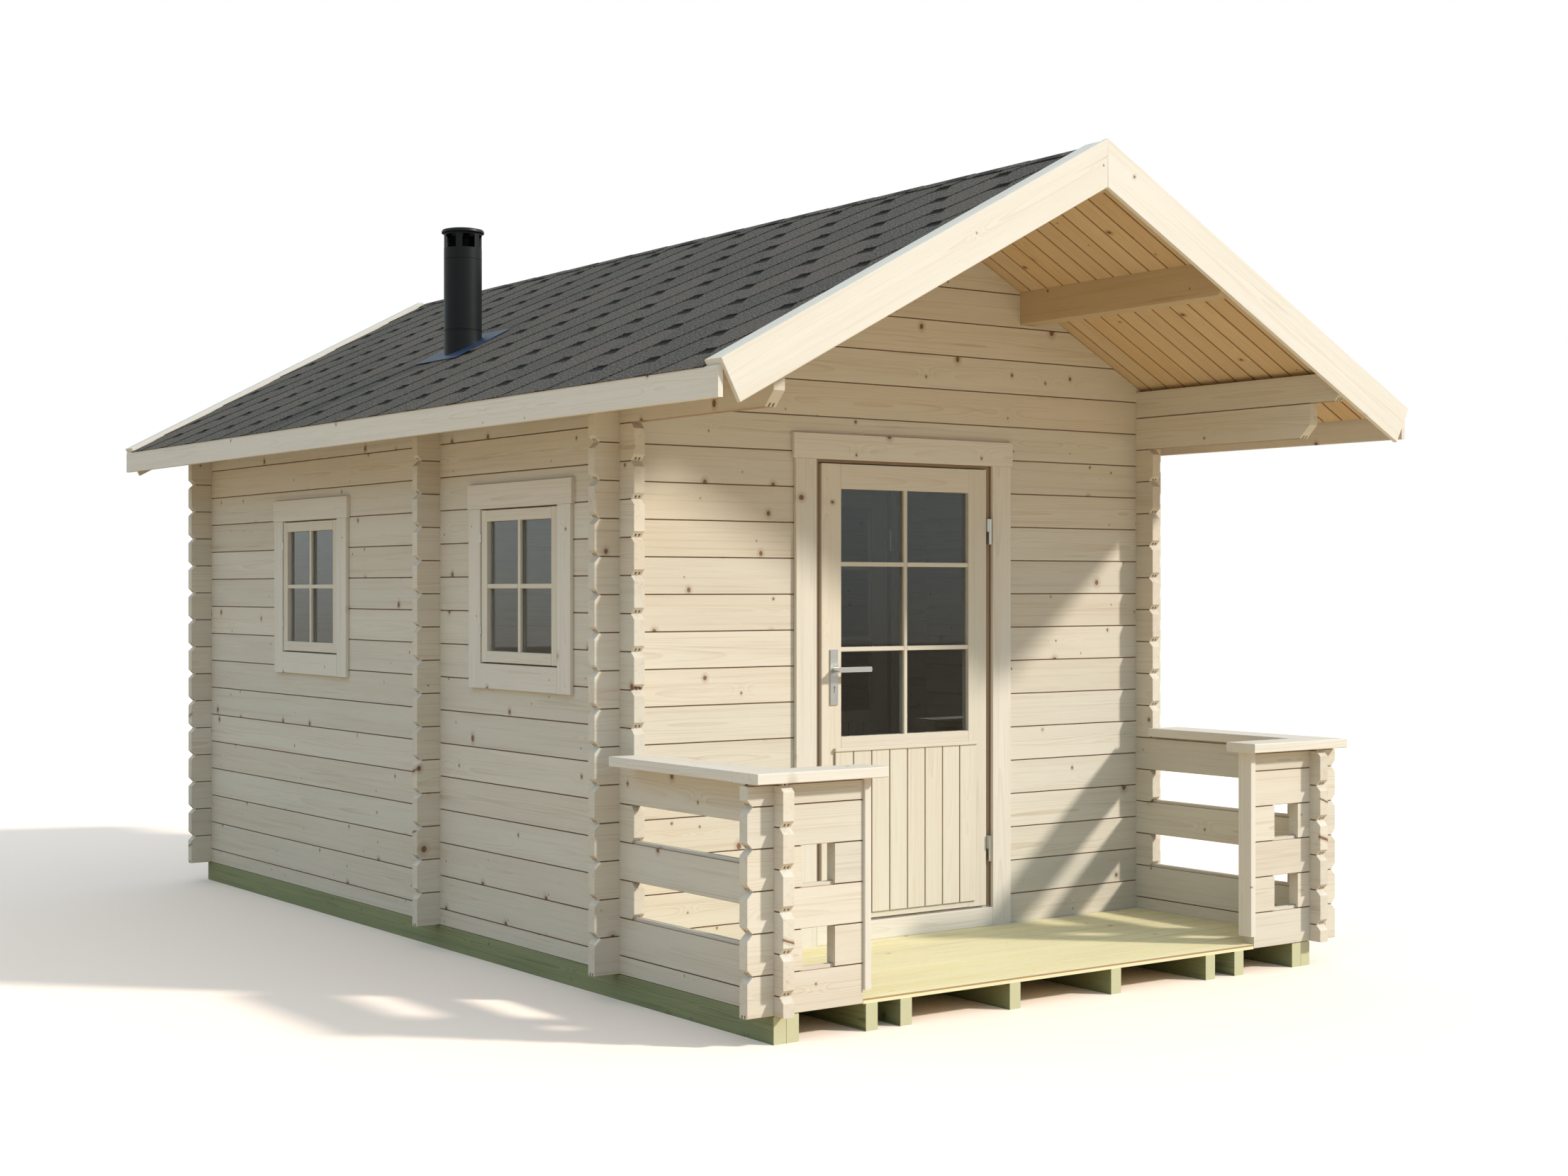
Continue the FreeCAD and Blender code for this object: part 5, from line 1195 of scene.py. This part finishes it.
# %% Flue and cowl
def spun(profile, centre, steps=64):
    """A closed ring of quads from (radius, height) rows spun round centre, inner wall included."""
    radius, height = np.array(profile, dtype=float).T
    angle = np.linspace(0.0, 2.0 * math.pi, steps, endpoint=False)
    x = centre[0] + radius[None, :] * np.cos(angle)[:, None]
    y = centre[1] + radius[None, :] * np.sin(angle)[:, None]
    z = np.broadcast_to(height, x.shape)
    points = np.stack([x, y, z], -1)
    m = len(profile)
    i, j = np.meshgrid(np.arange(steps), np.arange(m), indexing="ij")
    i2, j2 = (i + 1) % steps, (j + 1) % m
    quads = np.stack([i * m + j, i2 * m + j, i2 * m + j2, i * m + j2], -1).reshape(-1, 4)
    flat = points.reshape(-1, 3)
    return flat, quads.tolist(), flat, rng.random(), 0.0


FLUE_TOP, FLUE_LOW, JOINT_Z = 2895.0, SOFFIT_APEX + FLUE_X * TAN - 120.0, 2587.0
FLUE_WALL, BEAD_R, NECK_R, SMOOTH = 3.0, FLUE_R + 1.4, FLUE_R - 1.2, 35
FLUE_PLACE = (FLUE_X, FLUE_Y)
bore = FLUE_R - FLUE_WALL
tube = [(bore, FLUE_LOW), (FLUE_R, FLUE_LOW), (FLUE_R, JOINT_Z - 4.0), (BEAD_R, JOINT_Z - 3.0),
        (BEAD_R, JOINT_Z - 1.2), (NECK_R, JOINT_Z - 0.6), (NECK_R, JOINT_Z + 1.6), (FLUE_R, JOINT_Z + 2.0),
        (FLUE_R, FLUE_TOP - 2.4), (NECK_R, FLUE_TOP - 1.6), (NECK_R, FLUE_TOP), (bore, FLUE_TOP)]
make_piece("flue_tube", [spun(tube, FLUE_PLACE)], BLACK, "cabin", ["chimney_flue"],
           smooth=SMOOTH)

# %% The cowl: vented wall, lid and the pipe behind the vents
COWL_Z0, COWL_Z1, LID_Z = FLUE_TOP + 0.5, 3030.0, 3008.0
VENT_Z0, VENT_Z1, VENTS, VENT_TURN = 2943.0, 3001.0, 6, math.radians(21.0)
VENT_HALF, COWL_STEPS = 28.0, 72
SLEEVE_R, SLEEVE_LOW, SLEEVE_TOP = 60.0, FLUE_TOP - 40.0, 2990.0
LID_R, LID_TIP = 92.0, 0.4


def cowl_wall():
    """The vented wall: a grid of angle and height, with both skins, less its six vents."""
    steps = COWL_STEPS
    half_vent = math.asin(VENT_HALF / FLUE_R)
    pitch = 2.0 * math.pi / VENTS
    turn = np.linspace(0.0, 2.0 * math.pi, steps, endpoint=False)
    angle = turn + VENT_TURN
    near = np.abs((turn + pitch / 2.0) % pitch - pitch / 2.0)
    height = np.array([COWL_Z0, VENT_Z0, VENT_Z1, LID_Z])
    turned, level = np.meshgrid(angle, height, indexing="ij")
    skin = [np.stack([FLUE_X + r * np.cos(turned), FLUE_Y + r * np.sin(turned), level], -1)
            for r in (FLUE_R, bore)]
    points = np.concatenate([s.reshape(-1, 3) for s in skin])
    middle = (near + np.roll(near, -1)) / 2.0
    solid = np.ones((steps, len(height) - 1), dtype=bool)
    solid[:, 1] = middle > half_vent
    i, j = np.nonzero(solid)
    i2 = (i + 1) % steps
    m = len(height)
    offset = steps * m
    outer = np.stack([i * m + j, i2 * m + j, i2 * m + j + 1, i * m + j + 1], -1)
    inner = outer[:, ::-1] + offset
    edges = np.concatenate([outer[:, [0, 1]], outer[:, [1, 2]], outer[:, [2, 3]], outer[:, [3, 0]]])
    key = np.sort(edges, 1)
    _, index, count = np.unique(key, axis=0, return_index=True, return_counts=True)
    rim = edges[index[count == 1]]
    sides = np.stack([rim[:, 1], rim[:, 0], rim[:, 0] + offset, rim[:, 1] + offset], -1)
    return points, np.concatenate([outer, inner, sides]).tolist(), points, rng.random(), 0.0


lid = [(LID_TIP, LID_Z + 0.2), (LID_R - 2.0, LID_Z + 0.2), (LID_R, LID_Z + 2.0), (LID_R, LID_Z + 9.0),
       (LID_R - 4.0, LID_Z + 15.0), (70.0, COWL_Z1 - 3.0), (30.0, COWL_Z1), (LID_TIP, COWL_Z1)]
make_piece("cowl_shell", [cowl_wall(), spun(lid, FLUE_PLACE)], BLACK, "cabin", ["chimney_cowl"],
           smooth=SMOOTH)
sleeve = [(SLEEVE_R - FLUE_WALL, SLEEVE_LOW), (SLEEVE_R, SLEEVE_LOW), (SLEEVE_R, SLEEVE_TOP),
          (SLEEVE_R - FLUE_WALL, SLEEVE_TOP)]
make_piece("cowl_inner_pipe", [spun(sleeve, FLUE_PLACE)], INNER_PIPE_SHADE, "cabin", (), smooth=SMOOTH)

# %% Window hinges
BARREL_R, BARREL_H, BARREL_TIP, BARREL_STEPS, BARREL_SMOOTH = 5.0, 35.0, 0.4, 20, 40
HINGE_LEVELS, HINGE_OUT, HINGE_BESIDE = (1283.0, 1643.0), 14.0, 1.5
barrels = []
for cy in WINDOWS:
    for z in HINGE_LEVELS:
        mid, end = z + BARREL_H / 2.0, z + BARREL_H
        pin = [(BARREL_TIP, z), (BARREL_R - 1.0, z), (BARREL_R, z + 1.0), (BARREL_R, mid - 0.5),
               (BARREL_R - 0.8, mid), (BARREL_R, mid + 0.5), (BARREL_R, end - 1.0), (BARREL_R - 1.0, end),
               (BARREL_TIP, end)]
        barrels.append(spun(pin, (-HALF - HINGE_OUT, cy + SASH_HALF + HINGE_BESIDE), BARREL_STEPS))
make_piece("window_hinge_barrels", barrels, STEEL, "cabin", (), smooth=BARREL_SMOOTH)

# %% [markdown]
# ## Setting and light
# A low afternoon sun stands to the right of the camera, so the left wall is lit by the blue sky and
# the underside of the roof by warm light from the ground. Camera rays see the floor and the surround
# as white paper; all other rays meet a sandy ground and a sky that is warm and dim near the horizon,
# blue above it and almost white overhead.

# %% Colours of the setting
GROUND, FIELD, PAPER = (0.70, 0.55, 0.37), (0.20, 0.15, 0.11), (1.0, 0.85, 0.74)
SKY_LOW, SKY_MIDDLE, SKY_TOP = (0.32, 0.29, 0.25), (0.66, 0.98, 1.28), (1.0, 0.97, 0.90)
HORIZON_LOW, HORIZON_HIGH = (0.44, 0.34, 0.22), (0.76, 0.84, 0.80)
FLOOR_SHINE, FLOOR_HALF = 0.1, 40

# %% Floor
floor_mesh = bpy.data.meshes.new("studio_floor")
corners = [(x * FLOOR_HALF, y * FLOOR_HALF, 0) for x, y in ((-1, -1), (1, -1), (1, 1), (-1, 1))]
floor_mesh.from_pydata(corners, [], [(0, 1, 2, 3)])
studio_floor = bpy.data.objects.new("studio_floor", floor_mesh)
bpy.context.scene.collection.objects.link(studio_floor)
floor_finish = bpy.data.materials.new("pale_floor")
floor_finish.use_nodes = True
ground = floor_finish.node_tree
floor_paths = node(ground, "ShaderNodeLightPath")
sand = blend_colour(ground, floor_paths.outputs["Is Glossy Ray"], (*GROUND, 1.0), (*FIELD, 1.0))
floor_colour = blend_colour(ground, floor_paths.outputs["Is Camera Ray"], sand, (*PAPER, 1.0))
wire(ground, ground.nodes["Principled BSDF"], {"Base Color": floor_colour, "Roughness": 0.95})
ground.nodes["Principled BSDF"].inputs["Specular IOR Level"].default_value = FLOOR_SHINE
floor_mesh.materials.append(floor_finish)

# %% Sky
world = bpy.data.worlds.new("studio_sky")
bpy.context.scene.world = world
world.use_nodes = True
sky = world.node_tree
sky.nodes.clear()
paths = node(sky, "ShaderNodeLightPath")
seen = calc(sky, "MAXIMUM", paths.outputs["Is Camera Ray"], paths.outputs["Is Transmission Ray"])
way = node(sky, "ShaderNodeTexCoord").outputs["Generated"]
up = wire(sky, node(sky, "ShaderNodeSeparateXYZ"), {0: way}).outputs[2]
blue = blend_colour(sky, fade(sky, up, 0.05, 0.60), (*SKY_LOW, 1.0), (*SKY_MIDDLE, 1.0))
blue = blend_colour(sky, fade(sky, up, 0.60, 0.95), blue, (*SKY_TOP, 1.0))
mirrored = blend_colour(sky, fade(sky, up, -0.05, 0.04), (*HORIZON_LOW, 1.0), (*HORIZON_HIGH, 1.0))
blue = blend_colour(sky, paths.outputs["Is Glossy Ray"], blue, mirrored)
plain = wire(sky, node(sky, "ShaderNodeBackground"), {0: blue, 1: 1.0})
white = wire(sky, node(sky, "ShaderNodeBackground"), {0: (1.0, 1.0, 1.0, 1.0), 1: 1.0})
pick = wire(sky, node(sky, "ShaderNodeMixShader"), {0: seen, 1: plain.outputs[0], 2: white.outputs[0]})
wire(sky, node(sky, "ShaderNodeOutputWorld"), {0: pick.outputs[0]})

# %% Sun
SUN_WAY, SUN_POWER, SUN_COLOUR, SUN_SOFTNESS = (-1.0, 1.0, -0.88), 3.7, (1.0, 0.93, 0.83), 0.08
sun = bpy.data.lights.new("key", "SUN")
sun.energy, sun.color, sun.angle = SUN_POWER, SUN_COLOUR, SUN_SOFTNESS
lamp = bpy.data.objects.new("key", sun)
lamp.rotation_euler = Vector(SUN_WAY).to_track_quat("-Z", "Y").to_euler()
bpy.context.scene.collection.objects.link(lamp)

# %% [markdown]
# The camera is the one that was fitted to the photograph: about 50 mm on a full-frame sensor, at
# eye height, level and turned towards the porch corner.

# %% Camera
SENSOR, LENS, FAR = 36.0, 49.94, 200.0
CAMERA_PLACE = (-5.3435, -8.1819, 1.4629)
CAMERA_TURN = (math.pi / 2.0 + 0.0003, 0.0, -0.6236)
view = bpy.data.cameras.new("photo_camera")
view.sensor_width, view.lens, view.clip_end = SENSOR, LENS, FAR
camera = bpy.data.objects.new("photo_camera", view)
camera.location, camera.rotation_euler = CAMERA_PLACE, CAMERA_TURN
bpy.context.scene.collection.objects.link(camera)
bpy.context.scene.camera = camera
bpy.context.scene.view_settings.view_transform = "Standard"
